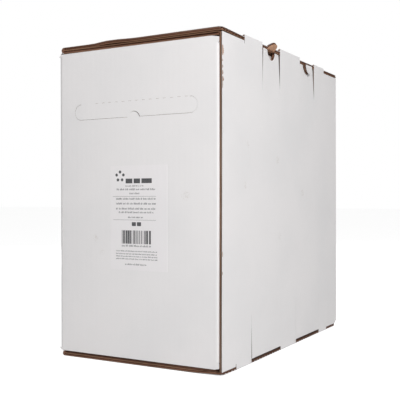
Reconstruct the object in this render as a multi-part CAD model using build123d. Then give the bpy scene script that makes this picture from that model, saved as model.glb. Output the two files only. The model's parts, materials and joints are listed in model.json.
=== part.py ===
from build123d import *
import math
import os

# A cable spool box: a corrugated carton that stands on one side wall, with a wooden cable
# reel turning on an axle inside it. Millimetres, +Z up, +X to the right of the front panel,
# +Y to the back. The origin is the middle of the footprint, on the floor.

# ---- carton ----
width = 240.0
depth = 390.0
height = 400.0
board = 4.0             # thickness of a wall
pressed_board = 3.4     # thickness of the two bottom layers, flattened by the reel
fold_radius = 3.0       # outside of a folded vertical edge
dust_flap_depth = 60.0  # reach of the dust flaps in front of the back panel

# ---- clearances ----
wall_gap = 0.3          # moving panel to the wall beside it
cut_gap = 0.5           # die-cut flap to the edge of its opening
tab_gap = 1.0           # slot flap to the thumb tab
sag_gap = 0.9           # front panel to the top inner wall
foot_gap = 0.6          # left panel to the floor, and to the height of the top
lid_gap = 4.0           # left panel to the left support board
reel_play = 1.5         # reel's furthest fastener to the support board beside it
rim_gap = 16.0          # reel flange to the nearest wall
running_gap = 0.06      # axle to the reel's bushes, on the radius
bolt_gap = 0.2          # tie bolt to its holes, on the radius
winding_gap = 1.0       # wound cable to each flange

# ---- front panel, slot flap, label ----
left_corner = 7.0       # cut corners of the left panel, at the front
front_corner = 3.5      # cut corners of the front panel
slot_length = 185.0
slot_height = 20.0
slot_below_top = 76.0   # crease of the slot flap below the carton's top
slot_offset = -1.0      # middle of the slot from the middle of the panel
tab_width = 17.6
tab_height = 6.7
label_width = 84.0
label_height = 128.5
label_paper = 0.2
label_offset = 4.5      # middle of the label from the middle of the panel
label_below_slot = 59.5

# ---- tuck flap ----
ear_depth = 45.0
ear_margin = 8.0        # ear to the path of the reel flange
ear_slot_gap = 4.0      # ear to the path of the slot flap
ear_inset = 8.0         # ear to the panel's top or bottom edge
ear_corner = 15.0
spine_depth = 12.0      # strip that joins the two ears

# ---- lock flaps in the right panel ----
top_lock_width = 56.0
top_lock_height = 52.0
top_lock_recess = 3.0   # free edge pushed in behind the panel's face
top_lock_middles = {"front": -56.0, "rear": 70.0}
top_lug_width = 50.0
top_lug_length = 40.0
bottom_lock_width = 90.0
bottom_lock_height = 54.0
bottom_lock_proud = 1.7  # free edge standing out of the panel's face
bottom_lock_middles = {"front": -73.0, "rear": 70.0}
bottom_lug_width = 84.0
bottom_lug_length = 42.0
thumb_radius = 14.5
tongue_radius = 13.5
tongue_lift = 30.0      # degrees above level of the bent-out front tongue

# ---- reel and axle ----
flange_thickness = 6.0
flange_hole_radius = 7.0     # hole that the cable's inner end starts from
flange_hole_gap = 4.0        # that hole to the core tube
winding_margin = 12.0        # flange rim above the wound cable
core_radius = 66.0
core_wall = 4.0
axle_radius = 20.0
axle_wall = 4.0
reel_bush_wall = 6.0
bush_lip_width = 7.0
bush_lip_thickness = 2.0
support_bush_wall = 5.0
support_inset = 55.0         # support board's front edge behind the front panel
support_back_gap = 20.0
bolt_circle_radius = 57.0
bolt_count = 3
bolt_phase = 5.0             # degrees from the back, seen from the right
bolt_radius = 3.0
bolt_head_radius = 8.0
bolt_head_height = 3.5
bolt_tail = 1.0
washer_radius = 9.0
washer_thickness = 1.6
nut_across_flats = 10.0
nut_height = 5.0

# ---- planes that follow from the sizes above ----
x_left = -width / 2
x_right = width / 2
y_front = -depth / 2
y_back = depth / 2
x_left_in = x_left + board
x_right_in = x_right - board
y_front_in = y_front + board
y_back_in = y_back - board
z_floor = 2 * pressed_board
z_ceiling = height - 2 * board
z_axle = (z_floor + z_ceiling) / 2
z_thumb = height - board / 2

x_panel_end = x_right_in - wall_gap
z_panel = (z_floor + wall_gap, z_ceiling - sag_gap)
x_walls = (x_left_in + wall_gap, x_right_in - wall_gap)
y_inner_walls = (y_front, y_back_in - dust_flap_depth - wall_gap)

z_slot = height - slot_below_top - slot_height / 2
z_label_top = z_slot - slot_height / 2 - label_below_slot

x_top_lug = x_right - top_lock_recess - board - cut_gap
x_right_support = (x_top_lug - 2 * board - cut_gap, x_top_lug - board - cut_gap)
x_left_support = (x_left_in + lid_gap, x_left_in + lid_gap + board)

flange_radius = min(depth / 2 - board, (z_ceiling - z_floor) / 2) - rim_gap
wound_radius = flange_radius - winding_margin
x_reel_left = x_left_support[1] + reel_play + bolt_head_height
x_reel_right = x_right_support[0] - reel_play - bolt_tail - nut_height - washer_thickness
x_traverse = (x_reel_left + flange_thickness, x_reel_right - flange_thickness)
reel_bush_radius = axle_radius + reel_bush_wall
support_bush_radius = axle_radius + support_bush_wall


def slab(x, y, z):
    """A straight board between two places on each axis."""
    size = (x[1] - x[0], y[1] - y[0], z[1] - z[0])
    return Pos((x[0] + x[1]) / 2, (y[0] + y[1]) / 2, (z[0] + z[1]) / 2) * Box(*size)


def bar(radius, x, y=0.0, z=z_axle):
    """A round bar along X, on the reel's axis unless y and z say otherwise."""
    return Pos((x[0] + x[1]) / 2, y, z) * Rot(0, 90, 0) * Cylinder(radius, x[1] - x[0])


def tube(radius, hole, x):
    """A round tube along X on the reel's axis."""
    return bar(radius, x) - bar(hole, x)


def front_plate(outline):
    """An outline in X and Z, given the front panel's thickness."""
    return Pos(0, y_front_in, 0) * Rot(90, 0, 0) * extrude(outline, board)


def side_plate(outline, x):
    """An outline in Y and Z, given a thickness between two places on X."""
    return Pos(x[0], 0, 0) * Rot(0, 0, 90) * Rot(90, 0, 0) * extrude(outline, x[1] - x[0])


def about(middle, size):
    """The two ends of a stretch, from its middle and its length."""
    return (middle - size / 2, middle + size / 2)


def bolt_places():
    """Y and Z of each tie bolt."""
    for number in range(bolt_count):
        angle = math.radians(bolt_phase + 360.0 * number / bolt_count)
        yield bolt_circle_radius * math.cos(angle), z_axle + bolt_circle_radius * math.sin(angle)


# ---- fixed walls of the carton ----


def right_panel():
    panel = slab((x_right_in, x_right), (y_front, y_back), (pressed_board, height - board))
    for middle in top_lock_middles.values():
        z = (height - board - top_lock_height, height)
        panel -= slab((x_right_in, x_right), about(middle, top_lock_width), z)
    for middle in bottom_lock_middles.values():
        z = (0, pressed_board + bottom_lock_height)
        panel -= slab((x_right_in, x_right), about(middle, bottom_lock_width), z)
    return panel


def back_panel():
    return slab((x_left, x_right_in), (y_back_in, y_back), (pressed_board, height - board))


def hanging_tongue(middle):
    disc = bar(tongue_radius, (x_right_in, x_right), middle, z_thumb)
    return disc & slab((x_right_in, x_right), about(middle, width), (0, height - board / 2))


def lifted_tongue(middle):
    disc = extrude(Circle(tongue_radius), board / 2, both=True)
    half = disc & (Pos(tongue_radius, 0, 0) * Box(2 * tongue_radius, 2 * tongue_radius, board))
    return Pos(x_right - board / 2, middle, z_thumb) * Rot(0, -tongue_lift, 0) * half


def top_outer_wall():
    wall = slab((x_walls[0], x_right), (y_front, y_back), (height - board, height))
    wall += lifted_tongue(top_lock_middles["front"])
    wall += hanging_tongue(top_lock_middles["rear"])
    return wall


def top_inner_wall():
    wall = slab(x_walls, y_inner_walls, (z_ceiling, height - board))
    for middle in top_lock_middles.values():
        wall -= slab((x_top_lug, x_right), about(middle, top_lock_width), (z_ceiling, height))
        z = (z_ceiling - top_lug_length, height - board)
        wall += slab((x_top_lug - board, x_top_lug), about(middle, top_lug_width), z)
    return wall


def bottom_outer_wall():
    return slab((x_walls[0], x_right), (y_front, y_back), (0, pressed_board))


def bottom_inner_wall():
    wall = slab(x_walls, y_inner_walls, (pressed_board, z_floor))
    for middle in bottom_lock_middles.values():
        z = (pressed_board, z_floor + bottom_lug_length)
        wall += slab((x_walls[1] - board, x_walls[1]), about(middle, bottom_lug_width), z)
    return wall


def dust_flap(z):
    return slab(x_walls, (y_back_in - dust_flap_depth, y_back_in), z)


# ---- lid, front panel and tuck flap ----


def left_panel():
    y = (y_front_in, y_back_in - wall_gap)
    z = (foot_gap, height - foot_gap)
    panel = slab((x_left, x_left_in), y, z)
    corners = panel.edges().filter_by(Axis.X).group_by(Axis.Y)[0]
    return chamfer(corners, left_corner)


def tab_circle(extra):
    """The thumb tab's round outline, as a circle that rises into the slot."""
    radius = (tab_width**2 / 4 + tab_height**2) / (2 * tab_height)
    low = z_slot - slot_height / 2
    return Pos(slot_offset, low + tab_height - radius) * Circle(radius + extra)


def front_panel():
    middle = (x_left + x_panel_end) / 2
    outline = Rectangle(x_panel_end - x_left, z_panel[1] - z_panel[0])
    outline = chamfer(outline.vertices(), front_corner)
    outline = Pos(middle, (z_panel[0] + z_panel[1]) / 2) * outline
    panel = front_plate(outline)
    face = panel.faces().sort_by(Axis.Y)[0]
    folds = face.edges().filter_by(Axis.Z)
    panel = fillet(folds, fold_radius)
    slot = Pos(slot_offset, z_slot) * SlotOverall(slot_length, slot_height)
    return panel - front_plate(slot - tab_circle(0.0))


def slot_flap():
    size = (slot_length - 2 * cut_gap, slot_height - 2 * cut_gap)
    slot = Pos(slot_offset, z_slot) * SlotOverall(*size)
    return front_plate(slot - tab_circle(tab_gap))


def label():
    x = about(label_offset, label_width)
    return slab(x, (y_front - label_paper, y_front), (z_label_top - label_height, z_label_top))


def tuck_flap():
    x = (x_panel_end - board, x_panel_end)
    z_ears = (z_panel[0] + ear_inset, z_panel[1] - ear_inset)
    y_tip = y_front_in + wall_gap + ear_depth
    flap = slab(x, (y_front_in + wall_gap, y_tip), z_ears)
    flap = chamfer(flap.edges().filter_by(Axis.X).group_by(Axis.Y)[-1], ear_corner)
    to_reel = math.sqrt(max(flange_radius**2 - y_tip**2, 0.0)) + ear_margin
    to_slot = z_slot + slot_height / 2 + ear_slot_gap - z_axle
    y_relief = (y_front_in + wall_gap + spine_depth, y_tip)
    return flap - slab(x, y_relief, about(z_axle, 2 * max(to_reel, to_slot)))


# ---- lock flaps ----


def top_lock_flap(middle):
    """Hinged on its lower crease; its free edge leans in behind the panel's face."""
    hinge = height - board - top_lock_height
    y = about(0, top_lock_width - 2 * cut_gap)
    flap = slab((-board, 0), y, (cut_gap, top_lock_height - cut_gap))
    flap -= bar(thumb_radius, (-board, 0), 0, z_thumb - hinge)
    lean = math.degrees(math.asin(top_lock_recess / top_lock_height))
    return Pos(x_right, middle, hinge) * Rot(0, -lean, 0) * flap


def bottom_lock_flap(middle):
    """Hinged on its upper crease; its free edge stands out of the panel's face."""
    hinge = pressed_board + bottom_lock_height
    y = about(0, bottom_lock_width - 2 * cut_gap)
    flap = slab((-board, 0), y, (cut_gap - bottom_lock_height, -cut_gap))
    lean = math.degrees(math.asin(bottom_lock_proud / bottom_lock_height))
    return Pos(x_right, middle, hinge) * Rot(0, -lean, 0) * flap


# ---- reel, axle and supports ----


def support_board(x):
    y = (y_front + support_inset, y_back_in - support_back_gap)
    return slab(x, y, (z_floor, z_ceiling)) - bar(support_bush_radius, x)


def support_bush(x, lip):
    sleeve = tube(support_bush_radius, axle_radius, x)
    return sleeve + tube(support_bush_radius + bush_lip_width, axle_radius, lip)


def axle_tube():
    return tube(axle_radius, axle_radius - axle_wall, (x_left_support[0], x_right_support[1]))


def reel_flange(x):
    flange = tube(flange_radius, reel_bush_radius, x)
    for y, z in bolt_places():
        flange -= bar(bolt_radius + bolt_gap, x, y, z)
    return flange


def left_reel_flange():
    x = (x_reel_left, x_traverse[0])
    start = core_radius + flange_hole_gap + flange_hole_radius
    return reel_flange(x) - bar(flange_hole_radius, x, 0, z_axle + start)


def reel_bush(x, lip):
    bore = axle_radius + running_gap
    return tube(reel_bush_radius, bore, x) + tube(reel_bush_radius + bush_lip_width, bore, lip)


def tie_bolt(y, z):
    """A coach bolt: low domed head on the left flange, thread end past the nut."""
    head = bar(bolt_head_radius, (x_reel_left - bolt_head_height, x_reel_left), y, z)
    rim = head.edges().filter_by(GeomType.CIRCLE).sort_by(Axis.X)[0]
    head = fillet(rim, bolt_head_height * 0.8)
    return head + bar(bolt_radius, (x_reel_left, x_right_support[0] - reel_play), y, z)


def washer(y, z):
    x = (x_reel_right, x_reel_right + washer_thickness)
    return bar(washer_radius, x, y, z) - bar(bolt_radius + bolt_gap, x, y, z)


def nut(y, z):
    start = x_reel_right + washer_thickness
    hexagon = RegularPolygon(nut_across_flats / 2, 6, major_radius=False)
    body = side_plate(Pos(y, z) * hexagon, (start, start + nut_height))
    return body - bar(bolt_radius, (start, start + nut_height), y, z)


def group(make):
    """One of a fastener at each tie bolt's place, as separate solids."""
    return Compound(children=[make(y, z) for y, z in bolt_places()])


def all_pieces():
    left_lip = (x_left_support[1], x_left_support[1] + bush_lip_thickness)
    right_lip = (x_right_support[0] - bush_lip_thickness, x_right_support[0])
    left_inner_lip = (x_traverse[0], x_traverse[0] + bush_lip_thickness)
    right_inner_lip = (x_traverse[1] - bush_lip_thickness, x_traverse[1])
    x_wound = (x_traverse[0] + winding_gap, x_traverse[1] - winding_gap)
    pieces = {
        "right_panel": right_panel(),
        "back_panel": back_panel(),
        "top_outer_wall": top_outer_wall(),
        "top_inner_wall": top_inner_wall(),
        "bottom_outer_wall": bottom_outer_wall(),
        "bottom_inner_wall": bottom_inner_wall(),
        "top_dust_flap": dust_flap((z_ceiling, height - board)),
        "bottom_dust_flap": dust_flap((pressed_board, z_floor)),
        "left_panel": left_panel(),
        "front_panel": front_panel(),
        "slot_flap": slot_flap(),
        "label": label(),
        "tuck_flap": tuck_flap(),
        "left_support_board": support_board(x_left_support),
        "right_support_board": support_board(x_right_support),
        "left_support_bush": support_bush(x_left_support, left_lip),
        "right_support_bush": support_bush(x_right_support, right_lip),
        "axle_tube": axle_tube(),
        "left_reel_flange": left_reel_flange(),
        "right_reel_flange": reel_flange((x_traverse[1], x_reel_right)),
        "left_reel_bush": reel_bush((x_reel_left, x_traverse[0]), left_inner_lip),
        "right_reel_bush": reel_bush((x_traverse[1], x_reel_right), right_inner_lip),
        "core_tube": tube(core_radius, core_radius - core_wall, x_traverse),
        "wound_cable": tube(wound_radius, core_radius, x_wound),
        "tie_bolts": group(tie_bolt),
        "washers": group(washer),
        "nuts": group(nut),
    }
    for place, middle in top_lock_middles.items():
        pieces[f"{place}_top_lock_flap"] = top_lock_flap(middle)
    for place, middle in bottom_lock_middles.items():
        pieces[f"{place}_bottom_lock_flap"] = bottom_lock_flap(middle)
    return pieces


os.makedirs("parts", exist_ok=True)
for name, piece in all_pieces().items():
    export_step(piece, f"parts/{name}.step")
print("reel flange radius", flange_radius, "wound radius", wound_radius, "traverse", x_traverse)
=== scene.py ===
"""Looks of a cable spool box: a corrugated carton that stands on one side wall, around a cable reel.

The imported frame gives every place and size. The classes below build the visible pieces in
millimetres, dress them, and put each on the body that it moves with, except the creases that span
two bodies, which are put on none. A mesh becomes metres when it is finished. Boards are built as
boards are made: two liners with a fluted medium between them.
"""

from __future__ import annotations

import json
import logging
import math
import random
from collections.abc import Callable, Iterable, Sequence
from dataclasses import dataclass, field
from enum import Enum

import bmesh
import bpy
from mathutils import Matrix, Vector, noise

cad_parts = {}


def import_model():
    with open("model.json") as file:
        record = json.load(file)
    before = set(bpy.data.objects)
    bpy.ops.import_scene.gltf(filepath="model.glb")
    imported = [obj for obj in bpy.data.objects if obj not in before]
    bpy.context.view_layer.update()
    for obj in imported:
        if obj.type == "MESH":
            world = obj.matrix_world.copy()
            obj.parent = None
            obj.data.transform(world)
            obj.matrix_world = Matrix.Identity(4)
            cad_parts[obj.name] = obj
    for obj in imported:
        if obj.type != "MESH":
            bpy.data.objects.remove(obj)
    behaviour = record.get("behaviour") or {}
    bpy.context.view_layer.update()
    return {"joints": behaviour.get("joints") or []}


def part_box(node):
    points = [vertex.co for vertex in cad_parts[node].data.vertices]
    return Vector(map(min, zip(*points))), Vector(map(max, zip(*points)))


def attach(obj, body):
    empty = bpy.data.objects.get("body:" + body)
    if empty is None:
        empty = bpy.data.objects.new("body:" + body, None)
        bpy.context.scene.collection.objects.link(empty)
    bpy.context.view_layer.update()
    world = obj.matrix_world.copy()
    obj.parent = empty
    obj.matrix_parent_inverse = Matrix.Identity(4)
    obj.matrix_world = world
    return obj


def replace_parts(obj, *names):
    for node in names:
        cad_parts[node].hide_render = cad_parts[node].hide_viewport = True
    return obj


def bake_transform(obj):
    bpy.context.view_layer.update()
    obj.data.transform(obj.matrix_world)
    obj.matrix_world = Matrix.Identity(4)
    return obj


LOG = logging.getLogger("spool_box")
MM = 0.001
TOUCH = 1e-4  # Two vertices this close, in millimetres, are one.
LINER = 0.4  # Thickness of a board's liner in millimetres.
WAVE_TURN = 20.0  # Radians per metre of a wave texture at a scale of 1.

Point = tuple[float, float]
Loop = list[Point]
Colour = tuple[float, float, float]
Section = list[tuple[Vector, Vector]]
Socket = bpy.types.NodeSocket
Bench = bmesh.types.BMesh


class Slot(Enum):
    """The record's material slots."""

    WHITE = "white_board"
    KRAFT = "kraft_board"
    LABEL = "label_paper"
    PLYWOOD = "plywood"
    CARD = "core_card"
    JACKET = "cable_jacket"
    AXLE = "axle_plastic"
    BUSH = "bush_plastic"
    ZINC = "zinc_steel"


class Grain(Enum):
    """The axis that a board's flutes repeat along, which its washboarding follows."""

    ACROSS_X = "X"
    ACROSS_Y = "Y"
    ACROSS_Z = "Z"


# ---- finishes


@dataclass
class NodeBench:
    """A material's node tree, with short ways to add what the finishes need."""

    material: bpy.types.Material

    def __post_init__(self) -> None:
        """Empties the tree and puts in the surface shader and its output."""
        self.material.use_nodes = True
        self.tree = self.material.node_tree
        self.tree.nodes.clear()
        output = self.tree.nodes.new("ShaderNodeOutputMaterial")
        self.shader = self.tree.nodes.new("ShaderNodeBsdfPrincipled")
        self.tree.links.new(self.shader.outputs["BSDF"], output.inputs["Surface"])
        self.place = self.tree.nodes.new("ShaderNodeTexCoord").outputs["Object"]

    def link(self, source: Socket, target: Socket) -> None:
        """Joins two sockets."""
        self.tree.links.new(source, target)

    def stretched(self, scale: Colour, turn: Colour = (0.0, 0.0, 0.0)) -> Socket:
        """Scales and turns the object's coordinates.

        Args:
            scale: Factor along each axis.
            turn: Euler angles in radians.

        Returns:
            The socket with the mapped place.
        """
        mapping = self.tree.nodes.new("ShaderNodeMapping")
        mapping.inputs["Scale"].default_value = scale
        mapping.inputs["Rotation"].default_value = turn
        self.link(self.place, mapping.inputs["Vector"])
        return mapping.outputs["Vector"]

    def noise(
        self, scale: float, detail: float = 3.0, rough: float = 0.5, place: Socket | None = None
    ) -> Socket:
        """Adds a noise texture.

        Args:
            scale: Features per metre.
            detail: Octaves.
            rough: Share that each octave keeps.
            place: Coordinates, or None for the object's own.

        Returns:
            The noise as a number about 0.5.
        """
        texture = self.tree.nodes.new("ShaderNodeTexNoise")
        texture.inputs["Scale"].default_value = scale
        texture.inputs["Detail"].default_value = detail
        texture.inputs["Roughness"].default_value = rough
        self.link(place or self.place, texture.inputs["Vector"])
        return texture.outputs["Fac"]

    def waves(self, pitch: float, axis: str, distortion: float = 0.0) -> Socket:
        """Adds even waves along one axis.

        Args:
            pitch: Length of a wave in metres.
            axis: X, Y or Z.
            distortion: How much the waves wander.

        Returns:
            The wave's height, 0 to 1.
        """
        texture = self.tree.nodes.new("ShaderNodeTexWave")
        texture.bands_direction = axis
        texture.inputs["Scale"].default_value = math.tau / (WAVE_TURN * pitch)
        texture.inputs["Distortion"].default_value = distortion
        texture.inputs["Detail"].default_value = 1.0
        texture.inputs["Detail Scale"].default_value = 0.6
        self.link(self.place, texture.inputs["Vector"])
        return texture.outputs["Fac"]

    def ramp(self, source: Socket, low: float, high: float) -> Socket:
        """Spreads the stretch from low to high over 0 to 1, and clamps it.

        Args:
            source: The number.
            low: What becomes 0.
            high: What becomes 1.

        Returns:
            The spread number.
        """
        spread = self.tree.nodes.new("ShaderNodeMapRange")
        spread.interpolation_type = "SMOOTHSTEP"
        spread.inputs["From Min"].default_value = low
        spread.inputs["From Max"].default_value = high
        self.link(source, spread.inputs["Value"])
        return spread.outputs["Result"]

    def times(self, source: Socket, factor: float | Socket) -> Socket:
        """Multiplies a number by a constant or by another socket.

        Args:
            source: The number.
            factor: The constant or the socket.

        Returns:
            The product.
        """
        product = self.tree.nodes.new("ShaderNodeMath")
        product.operation = "MULTIPLY"
        self.link(source, product.inputs[0])
        if isinstance(factor, float):
            product.inputs[1].default_value = factor
        else:
            self.link(factor, product.inputs[1])
        return product.outputs["Value"]

    def near(self, place: Colour, radius: float) -> Socket:
        """Marks a soft-edged round spot.

        Args:
            place: The spot's middle in metres.
            radius: Where the spot has faded out, in metres.

        Returns:
            1 in the middle and 0 outside.
        """
        gap = self.tree.nodes.new("ShaderNodeVectorMath")
        gap.operation = "DISTANCE"
        self.link(self.place, gap.inputs[0])
        gap.inputs[1].default_value = place
        return self.ramp(gap.outputs["Value"], radius, radius * 0.2)

    def mix(self, factor: Socket, first: Colour | Socket, second: Colour) -> Socket:
        """Mixes two colours.

        Args:
            factor: 0 for the first colour, 1 for the second.
            first: A colour, or a socket that holds one.
            second: A colour.

        Returns:
            The mixed colour.
        """
        blend = self.tree.nodes.new("ShaderNodeMix")
        blend.data_type = "RGBA"
        self.link(factor, blend.inputs["Factor"])
        if isinstance(first, tuple):
            blend.inputs[6].default_value = (*first, 1.0)
        else:
            self.link(first, blend.inputs[6])
        blend.inputs[7].default_value = (*second, 1.0)
        return blend.outputs[2]

    def bump(self, height: Socket, distance: float, strength: float = 1.0) -> None:
        """Raises the surface by a height, after any bump already there.

        Args:
            height: The height, 0 to 1.
            distance: What a height of 1 is, in metres.
            strength: Share of the bump that shows.
        """
        node = self.tree.nodes.new("ShaderNodeBump")
        node.inputs["Strength"].default_value = strength
        node.inputs["Distance"].default_value = distance
        self.link(height, node.inputs["Height"])
        before = self.shader.inputs["Normal"].links
        if before:
            self.link(before[0].from_socket, node.inputs["Normal"])
        self.link(node.outputs["Normal"], self.shader.inputs["Normal"])

    def colour(self, source: Socket) -> None:
        """Sends a colour to the shader."""
        self.link(source, self.shader.inputs["Base Color"])

    def roughness(self, source: Socket) -> None:
        """Sends a roughness to the shader."""
        self.link(source, self.shader.inputs["Roughness"])

    def fixed(self, **values: float) -> None:
        """Sets constants on the shader's own sockets, by name with _ for a space."""
        for name, value in values.items():
            self.shader.inputs[name.replace("_", " ")].default_value = value


@dataclass(frozen=True)
class Finish:
    """What every finish has: a name and the record's slot."""

    name: str
    slot: Slot

    def material(self) -> bpy.types.Material:
        """Makes the finish's material once.

        Returns:
            The material, new or already made.
        """
        found = bpy.data.materials.get(self.name)
        if found:
            return found
        made = bpy.data.materials.new(self.name)
        self.dress(NodeBench(made))
        return made

    def dress(self, bench: NodeBench) -> None:
        """Fills the node tree.

        Args:
            bench: The tree to fill.
        """
        raise NotImplementedError


@dataclass(frozen=True)
class PaperFinish(Finish):
    """A paper liner: mottled pulp, fibre flecks, faint washboarding and a fine tooth."""

    base: Colour
    mottle: Colour
    fleck: Colour
    fleck_share: float
    grain: Grain
    washboard: float
    gloss: float
    flute_pitch: float = 0.0077
    handling_spots: tuple[tuple[Colour, float], ...] = ()
    handling_colour: Colour = (0.64, 0.61, 0.59)

    def dress(self, bench: NodeBench) -> None:
        """Fills the node tree.

        Args:
            bench: The tree to fill.
        """
        cloud = bench.ramp(bench.noise(9.0, 4.0), 0.35, 0.68)
        pulp = bench.mix(cloud, self.base, self.mottle)
        lying = self.grain is Grain.ACROSS_Z
        stretch = (45.0, 260.0, 260.0) if lying else (260.0, 260.0, 45.0)
        fibres = bench.noise(4.0, 5.0, 0.65, bench.stretched(stretch))
        flecks = bench.times(bench.ramp(fibres, 0.62, 0.74), self.fleck_share)
        coloured = bench.mix(flecks, pulp, self.fleck)
        for place, radius in self.handling_spots:
            crumbs = bench.ramp(bench.noise(420.0, 4.0), 0.42, 0.7)
            broken = bench.times(bench.near(place, radius), crumbs)
            coloured = bench.mix(broken, coloured, self.handling_colour)
        bench.colour(coloured)
        bench.roughness(bench.ramp(bench.noise(160.0, 3.0), -self.gloss * 6.0, 1.35))
        bench.bump(bench.waves(self.flute_pitch, self.grain.value, 0.4), self.washboard)
        bench.bump(bench.noise(900.0, 3.0), 0.00012, 0.35)
        bench.fixed(Specular_IOR_Level=0.3)


@dataclass(frozen=True)
class PlywoodFinish(Finish):
    """Birch plywood: long grain on the faces and dark glue lines round the rim."""

    light: Colour = (0.66, 0.47, 0.29)
    dark: Colour = (0.48, 0.31, 0.17)
    glue: Colour = (0.2, 0.11, 0.055)
    ply: float = 0.0015

    def dress(self, bench: NodeBench) -> None:
        """Fills the node tree.

        Args:
            bench: The tree to fill.
        """
        figure = bench.noise(5.0, 6.0, 0.6, bench.stretched((900.0, 60.0, 3.0)))
        pores = bench.noise(30.0, 3.0, 0.6, bench.stretched((900.0, 40.0, 1.6)))
        wood = bench.mix(bench.ramp(figure, 0.35, 0.7), self.light, self.dark)
        wood = bench.mix(bench.times(bench.ramp(pores, 0.6, 0.75), 0.4), wood, self.dark)
        glue_line = bench.ramp(bench.waves(self.ply, "X"), 0.9, 0.99)
        geometry = bench.tree.nodes.new("ShaderNodeNewGeometry")
        parts = bench.tree.nodes.new("ShaderNodeSeparateXYZ")
        bench.link(geometry.outputs["True Normal"], parts.inputs["Vector"])
        level = bench.tree.nodes.new("ShaderNodeMath")
        level.operation = "ABSOLUTE"
        bench.link(parts.outputs["X"], level.inputs[0])
        rim = bench.ramp(level.outputs["Value"], 0.5, 0.2)
        bench.colour(bench.mix(bench.times(glue_line, rim), wood, self.glue))
        bench.roughness(bench.ramp(figure, -0.9, 1.2))
        bench.bump(pores, 0.0002, 0.4)


@dataclass(frozen=True)
class PlasticFinish(Finish):
    """Moulded or drawn plastic with a faint bloom and fine texture."""

    base: Colour
    bloom: Colour
    rough: float
    texture_scale: float = 1400.0

    def dress(self, bench: NodeBench) -> None:
        """Fills the node tree.

        Args:
            bench: The tree to fill.
        """
        bench.colour(bench.mix(bench.ramp(bench.noise(24.0, 4.0), 0.4, 0.75), self.base, self.bloom))
        bench.roughness(bench.ramp(bench.noise(90.0, 3.0), 0.5 - self.rough * 2.0, 1.6))
        bench.bump(bench.noise(self.texture_scale, 2.0), 0.00006, 0.3)


@dataclass(frozen=True)
class ZincFinish(Finish):
    """Zinc-plated steel with a faint yellow-blue cast and handling marks."""

    base: Colour = (0.62, 0.62, 0.6)
    cast: Colour = (0.5, 0.47, 0.38)

    def dress(self, bench: NodeBench) -> None:
        """Fills the node tree.

        Args:
            bench: The tree to fill.
        """
        bench.colour(bench.mix(bench.ramp(bench.noise(220.0, 4.0), 0.4, 0.7), self.base, self.cast))
        bench.roughness(bench.ramp(bench.noise(700.0, 4.0), -0.2, 1.5))
        bench.bump(bench.noise(2600.0, 2.0), 0.00003, 0.4)
        bench.fixed(Metallic=1.0)


@dataclass(frozen=True)
class WoundCardFinish(Finish):
    """A spiral-wound card tube: kraft paper with the seams of its plies."""

    base: Colour = (0.36, 0.24, 0.14)
    seam: Colour = (0.2, 0.12, 0.07)
    seam_pitch: float = 0.06

    def dress(self, bench: NodeBench) -> None:
        """Fills the node tree.

        Args:
            bench: The tree to fill.
        """
        fibres = bench.ramp(bench.noise(4.0, 5.0, 0.6, bench.stretched((50.0, 300.0, 300.0))), 0.4, 0.7)
        seams = bench.ramp(bench.waves(self.seam_pitch, "X", 0.5), 0.97, 1.0)
        bench.colour(bench.mix(seams, bench.mix(fibres, self.base, (0.43, 0.3, 0.18)), self.seam))
        bench.roughness(bench.ramp(fibres, -1.6, 1.2))
        bench.bump(fibres, 0.0001, 0.4)


@dataclass(frozen=True)
class InkFinish(Finish):
    """Thermal print: dark grey where the head pressed well, paler where it did not."""

    dark: Colour = (0.05, 0.05, 0.054)
    pale: Colour = (0.14, 0.14, 0.145)

    def dress(self, bench: NodeBench) -> None:
        """Fills the node tree.

        Args:
            bench: The tree to fill.
        """
        bench.colour(bench.mix(bench.ramp(bench.noise(1500.0, 3.0), 0.35, 0.7), self.dark, self.pale))
        bench.roughness(bench.ramp(bench.noise(300.0), -0.6, 1.4))
        bench.bump(bench.noise(2000.0, 2.0), 0.00002, 0.3)


@dataclass(frozen=True)
class FloorFinish(Finish):
    """The studio's pale floor, which is lit from below as a product table is."""

    base: Colour = (0.8, 0.8, 0.8)
    glow: float = 0.6

    def dress(self, bench: NodeBench) -> None:
        """Fills the node tree.

        Args:
            bench: The tree to fill.
        """
        bench.colour(bench.mix(bench.ramp(bench.noise(0.6), 0.3, 0.7), self.base, (0.79, 0.79, 0.79)))
        bench.shader.inputs["Emission Color"].default_value = (1.0, 1.0, 1.0, 1.0)
        seen = bench.tree.nodes.new("ShaderNodeLightPath").outputs["Is Camera Ray"]
        bench.link(bench.times(seen, self.glow), bench.shader.inputs["Emission Strength"])
        bench.fixed(Roughness=0.8, Specular_IOR_Level=0.1)


def white_paper(name: str, grain: Grain, spots: tuple[tuple[Colour, float], ...] = ()) -> PaperFinish:
    """Mixes the bleached outer liner.

    Args:
        name: The material's name.
        grain: The axis of its washboarding.
        spots: Places and radii of its handling marks, in metres.

    Returns:
        The finish.
    """
    return PaperFinish(
        name=name, slot=Slot.WHITE, base=(0.775, 0.757, 0.757), mottle=(0.745, 0.732, 0.734),
        fleck=(0.58, 0.55, 0.53), fleck_share=0.22, grain=grain, washboard=0.00003, gloss=0.16,
        handling_spots=spots,
    )


def kraft_paper(name: str, base: Colour, mottle: Colour, grain: Grain = Grain.ACROSS_Y) -> PaperFinish:
    """Mixes brown kraft paper in one of its shades.

    Args:
        name: The material's name.
        base: Its main colour.
        mottle: The colour of its clouds.
        grain: The axis of its washboarding.

    Returns:
        The finish.
    """
    return PaperFinish(
        name=name, slot=Slot.KRAFT, base=base, mottle=mottle, fleck=(0.13, 0.06, 0.035), fleck_share=0.55,
        grain=grain, washboard=0.000025, gloss=0.1,
    )


FRONT_SPOTS = (
    ((0.0716, -0.195, 0.2073), 0.008),
    ((-0.0607, -0.195, 0.1546), 0.006),
    ((-0.0510, -0.195, 0.1371), 0.005),
)
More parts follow.
